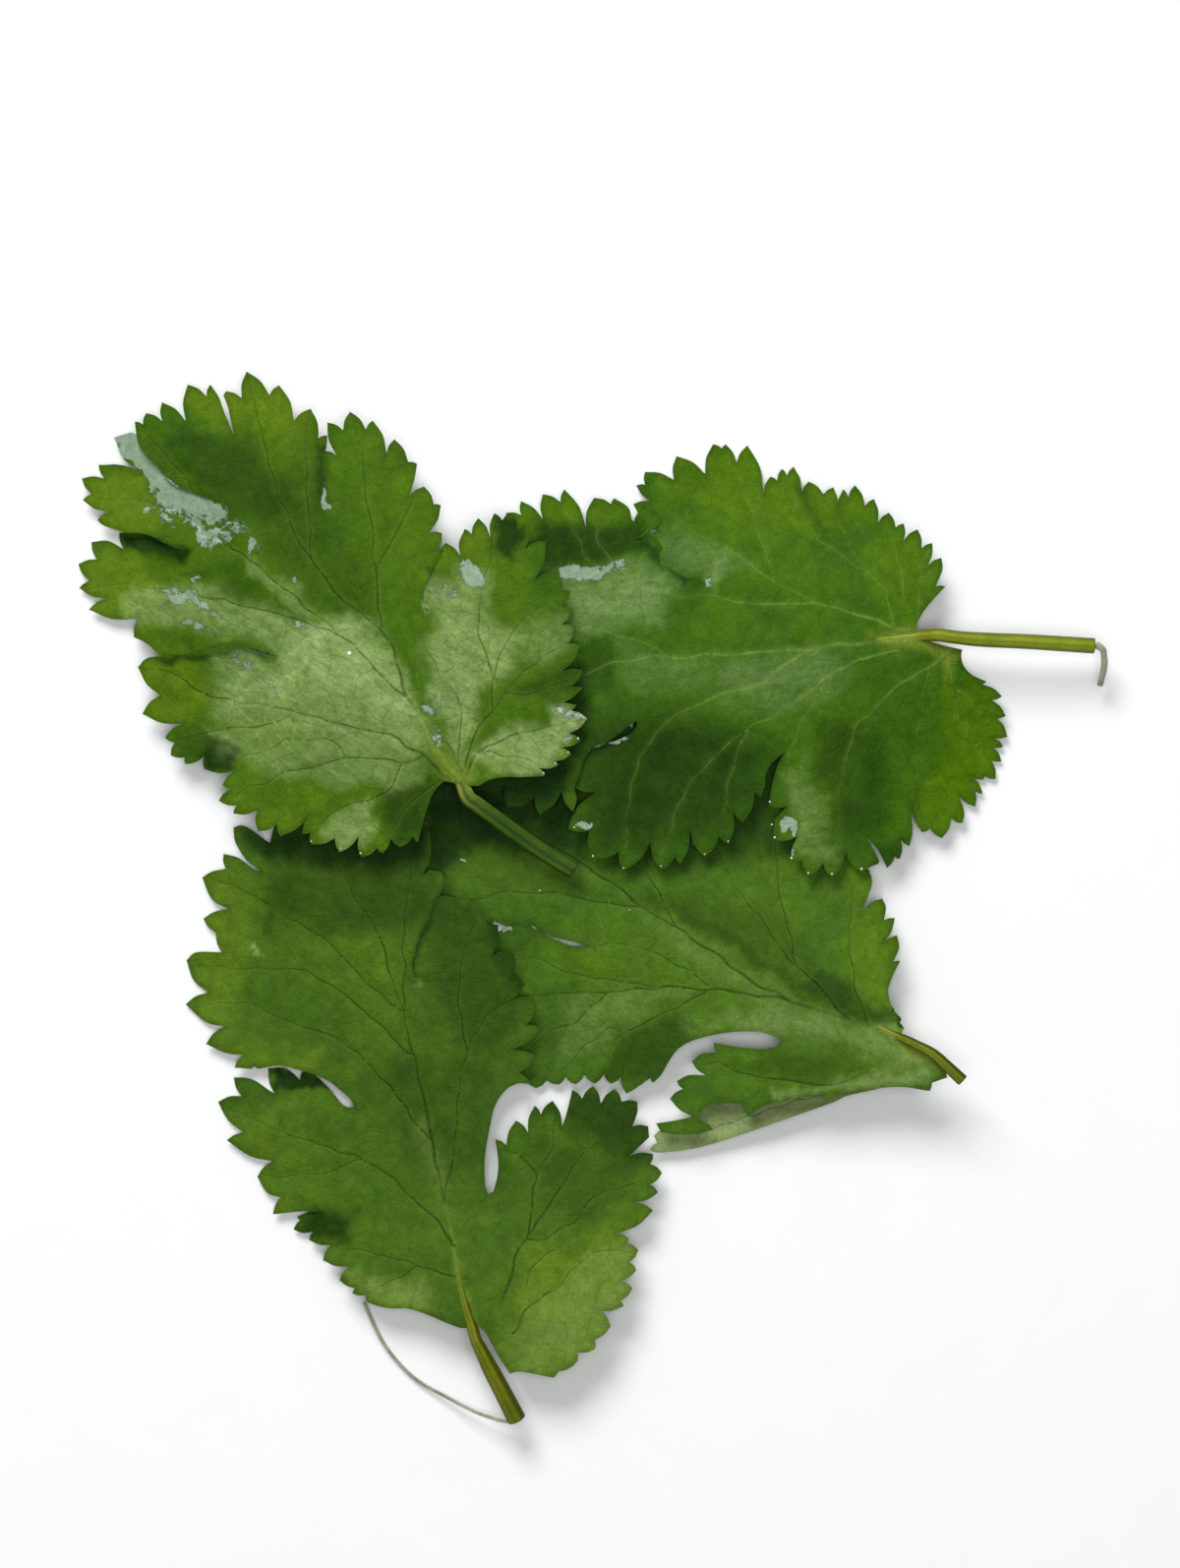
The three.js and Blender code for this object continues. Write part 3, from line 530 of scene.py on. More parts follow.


class Nodes:
    """A material being made from nodes."""

    def __init__(self, name):
        self.material = bpy.data.materials.new(name)
        self.material.use_nodes = True
        self.tree = self.material.node_tree
        self.tree.nodes.clear()
        self.place = self.add("ShaderNodeTexCoord").outputs["Object"]

    def put(self, value, socket):
        if isinstance(value, bpy.types.NodeSocket):
            self.tree.links.new(value, socket)
        else:
            socket.default_value = value

    def add(self, kind, inputs=None, **settings):
        node = self.tree.nodes.new(kind)
        for key, value in settings.items():
            setattr(node, key, value)
        for key, value in (inputs or {}).items():
            self.put(value, node.inputs[key])
        return node

    def noise(self, size, detail=3, roughness=0.55, distortion=0.0, place=None):
        """Noise between 0 and 1 whose features measure about size mm."""
        inputs = {"Vector": place or self.place, "Scale": 1 / (size * MM), "Detail": detail,
                  "Roughness": roughness, "Distortion": distortion}
        return self.add("ShaderNodeTexNoise", inputs).outputs["Fac"]

    def streaks(self, length, width, angle):
        """Noise between 0 and 1 drawn out along the angle, its features about length by width mm."""
        stretch = {"Vector": self.place, "Rotation": (0, 0, angle), "Scale": (length, width, width)}
        lie = self.add("ShaderNodeMapping", stretch, vector_type="TEXTURE").outputs["Vector"]
        return self.noise(1, 4, 0.65, 0.6, lie)

    def warped(self, size, amount):
        """The place pushed about by noise, so that patterns don't run straight."""
        noise = self.add("ShaderNodeTexNoise", {"Vector": self.place, "Scale": 1 / (size * MM), "Detail": 2})
        push = noise.outputs["Color"]
        for operation, inputs in (("SUBTRACT", {1: (0.5, 0.5, 0.5)}), ("SCALE", {"Scale": amount * MM}),
                                  ("ADD", {1: self.place})):
            push = self.add("ShaderNodeVectorMath", {0: push, **inputs}, operation=operation).outputs[0]
        return push

    def net(self, size, place, line):
        """A net of fine lines: 1 on a line and 0 in the cells between."""
        voronoi = self.add("ShaderNodeTexVoronoi", {"Vector": place, "Scale": 1 / (size * MM)},
                           feature="DISTANCE_TO_EDGE", voronoi_dimensions="2D")
        return self.ramp(voronoi.outputs["Distance"], 0.0, line, 1.0, 0.0)

    def attribute(self, name):
        return self.add("ShaderNodeAttribute", attribute_name=name).outputs["Fac"]

    def math(self, operation, a, b, clamp=False):
        return self.add("ShaderNodeMath", {0: a, 1: b}, operation=operation, use_clamp=clamp).outputs[0]

    def times(self, a, b, clamp=False):
        return self.math("MULTIPLY", a, b, clamp)

    def plus(self, a, b, clamp=False):
        return self.math("ADD", a, b, clamp)

    def minus(self, a, b):
        return self.math("SUBTRACT", a, b)

    def ramp(self, value, low, high, to_low=0.0, to_high=1.0):
        """The value's stretch from low to high, eased, onto the stretch given."""
        inputs = {"Value": value, "From Min": low, "From Max": high, "To Min": to_low, "To Max": to_high}
        return self.add("ShaderNodeMapRange", inputs, interpolation_type="SMOOTHSTEP").outputs["Result"]

    def mix(self, share, a, b, blend="MIX"):
        node = self.add("ShaderNodeMix", {0: share}, data_type="RGBA", blend_type=blend)
        for value, socket in ((a, node.inputs[6]), (b, node.inputs[7])):
            self.put((*value, 1) if isinstance(value, tuple) else value, socket)
        return node.outputs[2]

    def marked(self, tone, name, amount, mark):
        """The tone with the mark's colour over it, as far as the attribute of that name says."""
        return self.mix(self.times(self.attribute(name), amount), tone, mark)

    def bump(self, height, strength, distance=MM):
        inputs = {"Height": height, "Strength": strength, "Distance": distance}
        return self.add("ShaderNodeBump", inputs).outputs["Normal"]

    def surface(self, tone, roughness, relief=None, gloss=0.5):
        inputs = {"Base Color": tone, "Roughness": roughness, "Specular IOR Level": gloss}
        if relief is not None:
            inputs["Normal"] = relief
        return self.add("ShaderNodeBsdfPrincipled", inputs).outputs[0]

    def finish(self, shader):
        self.put(shader, self.add("ShaderNodeOutputMaterial").inputs["Surface"])
        return self.material


class LeafNodes(Nodes):
    """A leaf's material, with the patterns that its colour and its relief share."""

    def __init__(self, name, lie):
        super().__init__(name)
        self.broad = self.noise(9, 2)
        self.middle = self.noise(4.5, 3, place=self.warped(6, 3))
        self.mottle = self.noise(1.5, 4, 0.62)
        self.fleck = self.noise(0.6, 4, 0.75)
        self.grain = self.noise(0.26, 3, 0.75)
        warped = self.warped(2.4, 1.6)
        self.coarse_net = self.net(2.1, warped, 0.045)
        self.fine_net = self.net(0.8, warped, 0.09)
        # The painted sheen: a paler, streaked colour that stands in for the light's reflection where its
        # zones lie; it also raises the gloss.
        self.painted_sheen_mask = self.attribute("painted_sheen")
        self.streak = self.streaks(2.6, 0.7, lie)
        sheen_streaks = self.times(self.painted_sheen_mask, self.ramp(self.streak, 0.36, 0.64, 0.7, 1.15), True)
        self.sheen_streaks = self.times(sheen_streaks, self.ramp(self.fleck, 0.32, 0.6, 0.88, 1.04), True)
        # Water and glints, with torn edges; the colour painted over them is a painted reflection.
        torn = self.times(self.minus(self.noise(1.2, 6, 0.8, 0.8), 0.5), 2.3)
        self.water_and_glint = self.ramp(self.plus(self.attribute("water_and_glint"), torn), 0.44, 0.58)


def leaf_greens(n, green, fresh, deep, painted_sheen):
    """The blade's mottled greens, its painted sheen, painted shade and painted glow, and its paler lower
    face.
    """
    shadow_and_deep_mask = n.attribute("shadow_and_deep")
    tone = n.mix(n.ramp(n.broad, 0.35, 0.7, 0, 0.35), green, fresh)
    # A fresher green where its zones lie, in places the painted glow of light coming through the leaf.
    tone = n.mix(n.plus(n.attribute("fresh_and_glow"), n.ramp(n.mottle, 0.52, 0.75, 0, 0.16), True), tone, fresh)
    # Painted shade where its zones lie: shadows of leaves and lobes above, and along slits and notches; in
    # places only a deeper green.
    shadow_and_deep = n.times(shadow_and_deep_mask, n.ramp(n.middle, 0.35, 0.65, 0.8, 1.05))
    tone = n.mix(n.plus(shadow_and_deep, n.ramp(n.middle, 0.48, 0.3, 0, 0.22), True), tone, deep)
    # Painted sheen: the paler colour of the light's reflection.
    tone = n.mix(n.sheen_streaks, tone, painted_sheen)
    tone = n.marked(tone, "below", 0.65, UNDERSIDE)
    # The net's lines are darker within the painted sheen and the painted shade.
    line = n.mix(n.plus(n.painted_sheen_mask, shadow_and_deep_mask, True), VEIN_NET, deep)
    tone = n.mix(n.times(n.fine_net, 0.07), tone, line)
    return n.mix(n.times(n.coarse_net, n.ramp(n.painted_sheen_mask, 0, 0.6, 0.1, 0.2)), tone, line)


def leaf_tone(n, tone, deep, vein):
    """The blade's greens with veins, grain, a dark rim and water over them, with painted shade in the
    grooves and in the seams between cushions.
    """
    tone = n.marked(tone, "vein_near", 0.16, vein)
    # Painted shade: the grooves of the lesser veins are darkened.
    groove = n.ramp(n.attribute("groove"), 0.05, 0.5)
    tone = n.mix(n.times(groove, n.ramp(n.mottle, 0.35, 0.6, 0.6, 1.0)), tone, GROOVE_SHADE, "MULTIPLY")
    ridge = n.ramp(n.attribute("vein"), 0.05, 0.8)
    tone = n.mix(n.times(ridge, n.ramp(n.mottle, 0.35, 0.6, 0.42, 0.74)), tone, vein)
    tone = n.marked(tone, "hub", 0.8, VEIN_HUB)
    light = n.times(n.ramp(n.mottle, 0.3, 0.7, 0.92, 1.08), n.ramp(n.grain, 0.3, 0.7, 0.86, 1.14))
    light = n.times(light, n.ramp(n.fleck, 0.3, 0.7, 0.93, 1.07))
    # Painted shade: the sunken seams between the cushions are a little darker.
    light = n.times(light, n.ramp(n.attribute("cushion"), 0, 0.7, 0.92, 1.03))
    tone = n.mix(1.0, tone, light, "MULTIPLY")
    tone = n.marked(tone, "rim", 0.3, deep)
    # Water and glints: their pale colour is a painted reflection and painted highlights; they are also
    # glossier and smoother.
    return n.mix(n.times(n.water_and_glint, 0.85), tone, n.mix(n.ramp(n.fleck, 0.35, 0.65), *WATER_REFLECTION))


def leaf_relief(n):
    """The fine relief of the blade, smoother under water."""
    height = n.times(n.grain, 0.03)
    for part, depth in ((n.fleck, 0.07), (n.mottle, 0.13), (n.times(n.streak, n.painted_sheen_mask), 0.05),
                        (n.coarse_net, -0.03), (n.fine_net, -0.014)):
        height = n.plus(height, n.times(part, depth))
    return n.bump(n.times(height, n.minus(1.0, n.times(n.water_and_glint, 0.6))), 0.8)


def leaf_material(name, green, fresh, painted_sheen, vein, lie, deep=colour(24, 56, 4), through=colour(120, 164, 6),
                  translucent=0.22):
    """Living leaf: mottled green with a fine net of veins, a painted sheen and films of water whose pale
    colour is a painted reflection.

    The painted sheen is streaked along the angle lie, in degrees. Light that comes through has the
    colour through.
    """
    n = LeafNodes(name, math.radians(lie))
    tone = leaf_tone(n, leaf_greens(n, green, fresh, deep, painted_sheen), deep, vein)
    relief = leaf_relief(n)
    rough = n.minus(n.ramp(n.grain, 0.3, 0.7, 0.4, 0.54), n.times(n.water_and_glint, 0.2))
    gloss = n.plus(n.ramp(n.sheen_streaks, 0, 1, 0.06, 0.3), n.times(n.water_and_glint, 0.34))
    surface = n.surface(tone, rough, relief, gloss)
    behind = n.add("ShaderNodeBsdfTranslucent", {"Color": n.mix(0.55, tone, through), "Normal": relief})
    mixed = n.add("ShaderNodeMixShader", {0: translucent, 1: surface, 2: behind.outputs[0]})
    return n.finish(mixed.outputs[0])


def stalk_material(name, body, pale, dark, neck=colour(150, 162, 62)):
    """Juicy stalk with darker lines along it, a dark groove, and a pale neck where the blade begins."""
    n = Nodes(name)
    broad = n.noise(2.4, 2)
    grain = n.noise(0.2, 3, 0.7)
    tone = n.mix(n.ramp(broad, 0.3, 0.7), body, pale)
    tone = n.marked(tone, "neck", 0.85, neck)
    for kind, amount in (("line", 0.4), ("side", 0.55), ("groove", 0.8)):
        tone = n.marked(tone, kind, amount, dark)
    tone = n.mix(1.0, tone, n.ramp(grain, 0.3, 0.7, 0.86, 1.12), "MULTIPLY")
    tone = n.mix(n.attribute("cut"), tone, colour(150, 160, 92))
    relief = n.bump(n.plus(n.times(grain, 0.03), n.times(broad, 0.08)), 0.6)
    return n.finish(n.surface(tone, 0.42, relief, 0.08))


def fibre_material(name):
    """A dried strand: grey-green skin with paler streaks."""
    n = Nodes(name)
    grain = n.noise(0.18, 4, 0.7)
    tone = n.mix(n.ramp(n.noise(1.4, 2), 0.3, 0.7), colour(110, 116, 92), colour(150, 156, 128))
    tone = n.mix(n.ramp(grain, 0.4, 0.8, 0, 0.5), tone, colour(186, 190, 168))
    return n.finish(n.surface(tone, 0.6, n.bump(grain, 0.4, 0.06 * MM)))


# ------------------------------------------------------------------ stalks

STALK_STEP = 0.18            # spacing of the rings along a stalk
GROOVE_WIDTH = 0.5           # in radians round the stalk
LINE_DEPTH = 0.02            # depth of the lines along a stalk, as a share of its radius
NECK_LENGTH = 0.9

# The rings that close a cut end: the share of the stalk's width, how far each stands out
# from the end, and how much it shows the stalk's inside.
CUT_RINGS = ((0.86, 0.02, 0.5), (0.62, -0.02, 1), (0.3, -0.12, 1))


def rings(node):
    """Centre and mean radius, in mm, of each ring of a CAD rod, from one end to the other."""
    points, triangles = welded(node)
    near = [set() for _ in points]
    for corners in triangles.tolist():
        for a in corners:
            near[a].update(c for c in corners if c != a)
    for cap, sides in enumerate(near):
        seen, ring, layers = {cap}, set(sides), []
        while ring:
            layers.append(sorted(ring))
            seen |= ring
            ring = set().union(*(near[i] for i in ring)) - seen
        if len(layers[-1]) == 1 and all(len(layer) == len(sides) for layer in layers[:-1]):
            break
    rows = [points[layer] for layer in layers[:-1]]
    return [(row.mean(0), np.linalg.norm(row - row.mean(0), axis=1).mean()) for row in rows]


def blade_top(blade):
    """A function that gives the height in mm of a blade's upper face at a plan place in mm."""
    mesh = blade.data
    tree = BVHTree.FromPolygons([v.co for v in mesh.vertices], [tuple(p.vertices) for p in mesh.polygons])

    def height(place):
        over = Vector((place[0] * MM, place[1] * MM, 10 * MM))
        hit = tree.ray_cast(over, Vector((0, 0, -1)))[0] or tree.find_nearest(over)[0]
        return hit.z / MM

    return height


def lead_in(blade, *points):
    """The run of a stalk within its blade: its points are (x, y, how far it stands proud, radius)."""
    top = blade_top(blade)
    return [((*plan(x, y), top(plan(x, y)) + proud - radius), radius) for x, y, proud, radius in points]


def stalk_course(node, lead, toward, slim, least):
    """The middles and radii of a stalk's rings, and how many of the rings lie within its blade."""
    found = [(centre, max(radius * slim, least)) for centre, radius in rings(node)]
    if np.linalg.norm(found[0][0][:2] - toward) > np.linalg.norm(found[-1][0][:2] - toward):
        found.reverse()
    route = [(np.array(point), radius) for point, radius in lead] + found
    centres = catmull_rom([centre for centre, _ in route], STALK_STEP)
    index, _ = nearest([centre[:2] for centre, _ in route], centres)
    radii = np.interp(np.arange(len(centres)), index, [radius for _, radius in route])
    window = np.full(9, 1 / 9)
    radii = np.convolve(np.pad(radii, len(window) // 2, mode="edge"), window, "valid")
    return centres, radii, len(centres) * len(lead) / len(route)


def tube_faces(rows, sides):
    """The faces of a closed tube of that many rings."""
    turn = [(j, (j + 1) % sides) for j in range(sides)]
    last = (rows - 1) * sides
    faces = [(low + j, low + k, low + sides + k, low + sides + j)
             for low in range(0, last, sides) for j, k in turn]
    return faces + [tuple(range(last, last + sides)), tuple(reversed(range(sides)))]


def stalk_rows(centres, radii, angle, shape, flatten):
    """The rings of points along a stalk, then those that close its cut end."""
    along = directions(centres)
    across = np.cross(along, [0, 0, 1])
    across /= np.linalg.norm(across, axis=1)[:, None]
    upward = np.cross(across, along)
    rows = []
    for centre, radius, sideways, up in zip(centres, radii, across, upward):
        size = radius * shape
        rows.append(centre + np.outer(np.cos(angle) * size, sideways)
                    + np.outer(np.sin(angle) * size * flatten, up))
    end, rim = centres[-1], rows[-1]
    return rows + [end + (rim - end) * scale + along[-1] * push for scale, push, _ in CUT_RINGS]


def rod(name, node, slot, material, lead, toward, sides=40, groove=0.2, ridges=7, flatten=1.0, slim=1.0,
        least=0.0, turn=0.0):
    """A fine stalk along a CAD rod, from the end that lies near toward. lead joins it to its blade.

    Its groove faces up, or by the angle turn to the left of that, looking towards the cut end.
    """
    centres, radii, blade_rings = stalk_course(node, lead, toward, slim, least)
    angle = np.linspace(0, 2 * math.pi, sides, endpoint=False) + math.pi / 2
    from_groove = np.abs((angle - turn + math.pi / 2) % (2 * math.pi) - math.pi)
    dip = bell(from_groove, GROOVE_WIDTH)
    ridge = np.cos(ridges * angle)
    shape = 1 - groove * dip - LINE_DEPTH * (1 - ridge)
    rows = stalk_rows(centres, radii, angle, shape, flatten)

    mesh = new_mesh(name, np.vstack(rows), tube_faces(len(rows), sides))
    cap = (0, len(CUT_RINGS))
    body = np.pad(np.ones(len(centres)), cap)
    neck = np.exp(-np.maximum(0, np.arange(len(centres)) - blade_rings) * STALK_STEP / NECK_LENGTH)
    store(mesh, "line", np.outer(body, 0.5 - 0.5 * ridge).ravel())
    store(mesh, "groove", np.outer(body, dip).ravel())
    store(mesh, "cut", np.repeat([0] * len(centres) + [cut for _, _, cut in CUT_RINGS], sides))
    store(mesh, "neck", np.repeat(np.pad(neck, cap), sides))
    store(mesh, "side", np.tile(np.cos(angle) ** 6, len(rows)))
    return add_piece(mesh, material, slot, node)


# --------------------------------------------------------------- leaf data
# A vein is (width at its start, width at its end, route), the widths in mm. A zone is (softness
# of its edge in plan units, amount, corners). The kinds of zone are: a painted sheen, pale and
# streaked; painted shade, where leaves and lobes lie over others and along slits and notches, in
# places only a deeper green; a fresher green, in places the painted glow of light coming through
# the leaf; water, whose pale colour is a painted reflection, with painted glints on raised edges;
# and the pale place where the veins meet the stalk, called hub.

TOP_VEINS = (
    (0.50, 0.26, "468,795 455,775 440,755 430,735 415,711"),
    (0.26, 0.20, "415,711 410,690 405,675 398,655 390,643 380,635 350,612"),
    (0.20, 0.12, "350,612 325,580 302,545 283,500 270,455 262,420 253,385"),
    (0.18, 0.12, "390,643 386,600 380,550 373,500 368,460 359,425"),
    (0.14, 0.10, "383,580 400,550 414,520 424,485"),
    (0.14, 0.10, "318,570 316,520 312,470 315,425"),
    (0.24, 0.18, "415,711 400,698 385,682 370,668 360,657 340,640 318,622"),
    (0.18, 0.10, "318,622 280,590 240,560 200,535 150,512 95,505"),
    (0.14, 0.10, "240,560 215,520 185,480 150,440"),
    (0.16, 0.10, "350,648 300,630 245,615 190,605 140,595 85,598"),
    (0.28, 0.16, "455,790 430,768 400,750 365,741 320,728 295,722 240,712"),
    (0.14, 0.10, "240,712 210,706 180,690 146,684"),
    (0.14, 0.10, "295,728 278,736 250,740 215,744 180,752"),
    (0.22, 0.14, "430,770 412,775 395,772 370,770 352,769 345,757 325,752 290,752"),
    (0.14, 0.10, "290,752 265,765 235,775"),
    (0.16, 0.10, "352,770 335,775 320,780 300,783 280,792 255,800 235,812"),
    (0.14, 0.10, "412,775 400,800 380,812 345,822 318,850"),
    (0.14, 0.10, "450,792 425,810 405,835 390,860"),
    (0.24, 0.16, "475,790 480,775 488,765 515,752 545,742 590,732"),
    (0.12, 0.08, "488,766 520,768 550,776"),
    (0.24, 0.16, "470,785 462,765 452,752 447,742"),
    (0.18, 0.12, "468,775 468,750 468,715 455,695 440,672 432,655"),
    (0.20, 0.12, "474,780 482,750 500,725 512,708 530,685 555,668 580,650"),
    (0.14, 0.10, "512,708 540,705 568,695 588,684"),
    (0.14, 0.10, "500,725 503,690 512,660 530,635 555,612 572,604"),
    (0.14, 0.10, "503,690 490,650 490,610 500,570 505,530"),
)
TOP_SLIT = "136,445 143,452 152,465 162,474 170,485 182,495 200,502 224,512"
TOP_LAPS = (
    lap(0.45, 0.12, 3.2, 0.35, "140,671 170,670 200,669 232,659 266,664 284,668"),
    lap(0.4, -0.15, 3.0, 0.35, "112,540 141,544 155,548 168,555 187,560"),
    lap(0.6, 0.15, 3.4, 0.2, TOP_SLIT),
    lap(-0.25, -0.1, 2.0, 0.2, TOP_SLIT),
    lap(-0.75, -0.14, 3.2, 0.1, "449,570 441,590 435,604 433,621"),
)
TOP_ZONES = {
    "water_and_glint": (
        (4, 1, "115,448 130,444 143,450 153,465 170,484 187,500 204,504 224,514 214,524 190,520 172,510 "
               "152,496 138,478 122,466"),
        (9, 0.62, "150,496 190,512 226,514 244,530 252,542 238,550 222,558 206,556 190,540 170,526"),
        (6, 0.4, "140,500 170,520 186,545 178,556 158,540 142,518"),
        (5, 0.62, "250,546 264,550 278,564 268,574 254,566"),
        (5, 0.42, "276,572 300,588 308,596 298,600 280,584"),
        (4, 0.95, "466,578 480,562 488,580 493,600 480,604 470,594"),
        (5, 0.5, "446,596 462,594 472,606 466,616 450,612"),
        (5, 0.62, "155,596 166,592 186,604 198,600 204,610 192,622 172,614 160,603"),
        (4, 0.62, "190,606 212,616 233,623 229,628 206,622 192,613"),
        (4, 0.55, "182,584 206,583 207,592 192,597"),
        (5, 0.52, "186,629 206,632 224,641 214,647 192,638"),
        (4, 0.46, "286,622 308,632 326,646 320,650 298,636"),
        (7, 0.4, "218,666 246,668 272,680 284,696 276,704 254,692 236,682 222,676"),
        (6, 0.56, "432,716 446,704 458,710 452,728 438,738"),
        (5, 0.42, "434,742 444,740 452,758 446,762"),
        (4, 0.62, "560,720 580,716 598,729 590,736 572,731"),
        (4, 0.66, "570,744 592,751 575,759"),
        (1.5, 1, "327,488 331,498 335,510 342,512 340,517 331,517 328,505"),
        (1.5, 0.9, "328,471 331,472 330,478 327,477"),
    ),
    "painted_sheen": (
        (16, 0.55, "226,672 285,676 300,642 345,630 380,642 398,664 418,705 434,740 440,765 420,775 "
                   "380,768 330,752 290,744 250,742 226,722 220,695"),
        (14, 0.62, "300,642 345,632 380,644 402,668 428,716 432,742 405,722 370,702 320,694 285,702 "
                   "240,716 228,696 286,682"),
        (12, 0.5, "120,610 150,594 200,596 240,608 290,626 310,650 270,656 230,648 180,636 150,628 "
                  "128,636"),
        (12, 0.4, "212,736 300,745 360,762 410,772 424,788 400,806 330,790 290,790 232,768"),
        (12, 0.62, "440,588 470,598 505,640 532,650 520,680 495,700 480,740 474,778 455,748 440,700 "
                   "430,660 445,636"),
        (10, 0.35, "535,640 575,622 582,660 560,674 535,668"),
        (9, 0.7, "482,776 500,748 540,736 592,742 582,766 560,780 500,786"),
        (6, 0.8, "556,718 580,715 598,730 590,746 555,740"),
        (8, 0.45, "466,572 500,588 492,620 468,612"),
        (2.5, 0.9, "434,602 441,600 443,626 432,626"),
        (7, 0.5, "325,850 345,828 372,820 386,838 362,866 345,862"),
        (8, 0.35, "255,566 300,598 328,626 312,630 285,605 250,580"),
    ),
    "shadow_and_deep": (
        (16, 0.6, "160,446 215,440 255,455 285,480 300,515 270,535 240,525 205,500 178,482"),
        (14, 0.35, "300,470 325,475 345,530 385,600 385,640 345,625 300,590 262,545 270,510"),
        (3, 0.9, "160,674 200,673 232,664 266,668 284,671 268,675 236,671 202,681 165,681"),
        (5, 1, "121,546 148,546 175,556 200,560 185,572 150,568 132,560"),
        (10, 0.15, "185,576 240,568 290,600 330,630 305,634 255,606 200,598"),
        (6, 1, "205,768 212,744 232,752 246,765 238,786 212,782"),
        (8, 0.5, "178,752 205,735 230,745 215,770 185,772"),
        (12, 0.75, "385,800 442,790 432,850 402,862 394,830"),
        (5, 1, "438,576 450,580 452,600 440,606"),
        (6, 0.9, "500,528 525,526 532,548 520,570 505,560"),
        (10, 0.6, "560,690 592,678 592,702 560,712 520,702"),
        (4, 0.75, "323,455 331,456 327,485 328,512 322,490"),
    ),
    "fresh_and_glow": (
        (14, 0.9, "185,395 300,385 318,425 300,440 245,432 200,425"),
        (16, 0.25, "335,425 390,420 450,510 448,570 432,615 405,560 395,500"),
        (10, 0.9, "80,480 130,478 158,505 165,535 120,548 90,525"),
        (10, 0.9, "78,560 130,565 160,590 150,640 90,630"),
        (16, 0.8, "140,675 212,672 220,720 195,742 150,735"),
        (14, 0.5, "225,798 290,796 335,800 325,845 260,845"),
        (10, 0.5, "480,775 560,748 590,765 555,795 490,798"),
        (8, 0.4, "320,850 380,820 390,865 330,870"),
        (8, 0.6, "455,560 470,540 500,535 498,570 470,590"),
    ),
    "hub": (
        (7, 0.55, "440,762 452,760 472,776 482,792 470,802 454,792"),
    ),
}

RIGHT_VEINS = (
    (0.50, 0.36, "931,650 909,652 869,654 842,657 824,661"),
    (0.26, 0.14, "824,661 793,681 770,697 726,710 681,732 655,765 640,810 636,860"),
    (0.28, 0.14, "824,661 752,665.5 681,668 636,672 587,686 545,690 505,700"),
    (0.16, 0.10, "681,668 640,650 600,640 550,640 505,645"),
    (0.32, 0.18, "922,641 904,637 869,625 828,613 788,592"),
    (0.18, 0.10, "788,592 752,567 708,540 672,514"),
    (0.16, 0.10, "788,592 775,555 760,510 748,475"),
    (0.20, 0.10, "828,613 770,615 726,607 680,608 640,600 600,570 575,520"),
    (0.12, 0.08, "640,600 610,560 603,520"),
    (0.20, 0.10, "909,639 902,607 880,580 860,545 845,510"),
    (0.18, 0.10, "917,608 916,582 908,555 900,530"),
    (0.12, 0.08, "880,580 845,560 818,530 805,490"),
    (0.12, 0.08, "930,640 934,612 935,580 944,560"),
    (0.30, 0.12, "967,657 944,679 913,697 886,724 869,741 855,790 850,850"),
    (0.22, 0.10, "962,661 967,697 976,732 994,764"),
    (0.12, 0.08, "967,697 990,715 1015,726"),
    (0.16, 0.08, "944,679 935,730 930,780 935,835"),
    (0.24, 0.12, "913,663 877,670 842,688 806,715 761,741 720,775 690,820 672,870"),
    (0.12, 0.08, "842,688 815,735 800,775 815,825 828,868"),
    (0.12, 0.08, "761,741 745,780 735,830"),
)
RIGHT_NOTCH = "640,506 643,518 665,540 645,549 665,569 658,581 683,589 702,591 717,595"
RIGHT_TEAR = "582,832 585,812 588,792 594,776 602,764 614,757 628,750 640,742 647,736"
RIGHT_LAPS = (
    tuck((14, -9), -0.3, 4.0, 0, 4.0, RIGHT_NOTCH, "717,640 590,640 590,500 636,500"),
    tuck((0, 0), 0.15, 3.0, 0, 3.0, RIGHT_NOTCH, "760,595 760,480 640,480"),
    lap(0.4, 0.16, 3.0, 0.4, RIGHT_TEAR),
    lap(-0.3, -0.1, 3.0, 0.4, RIGHT_TEAR),
)
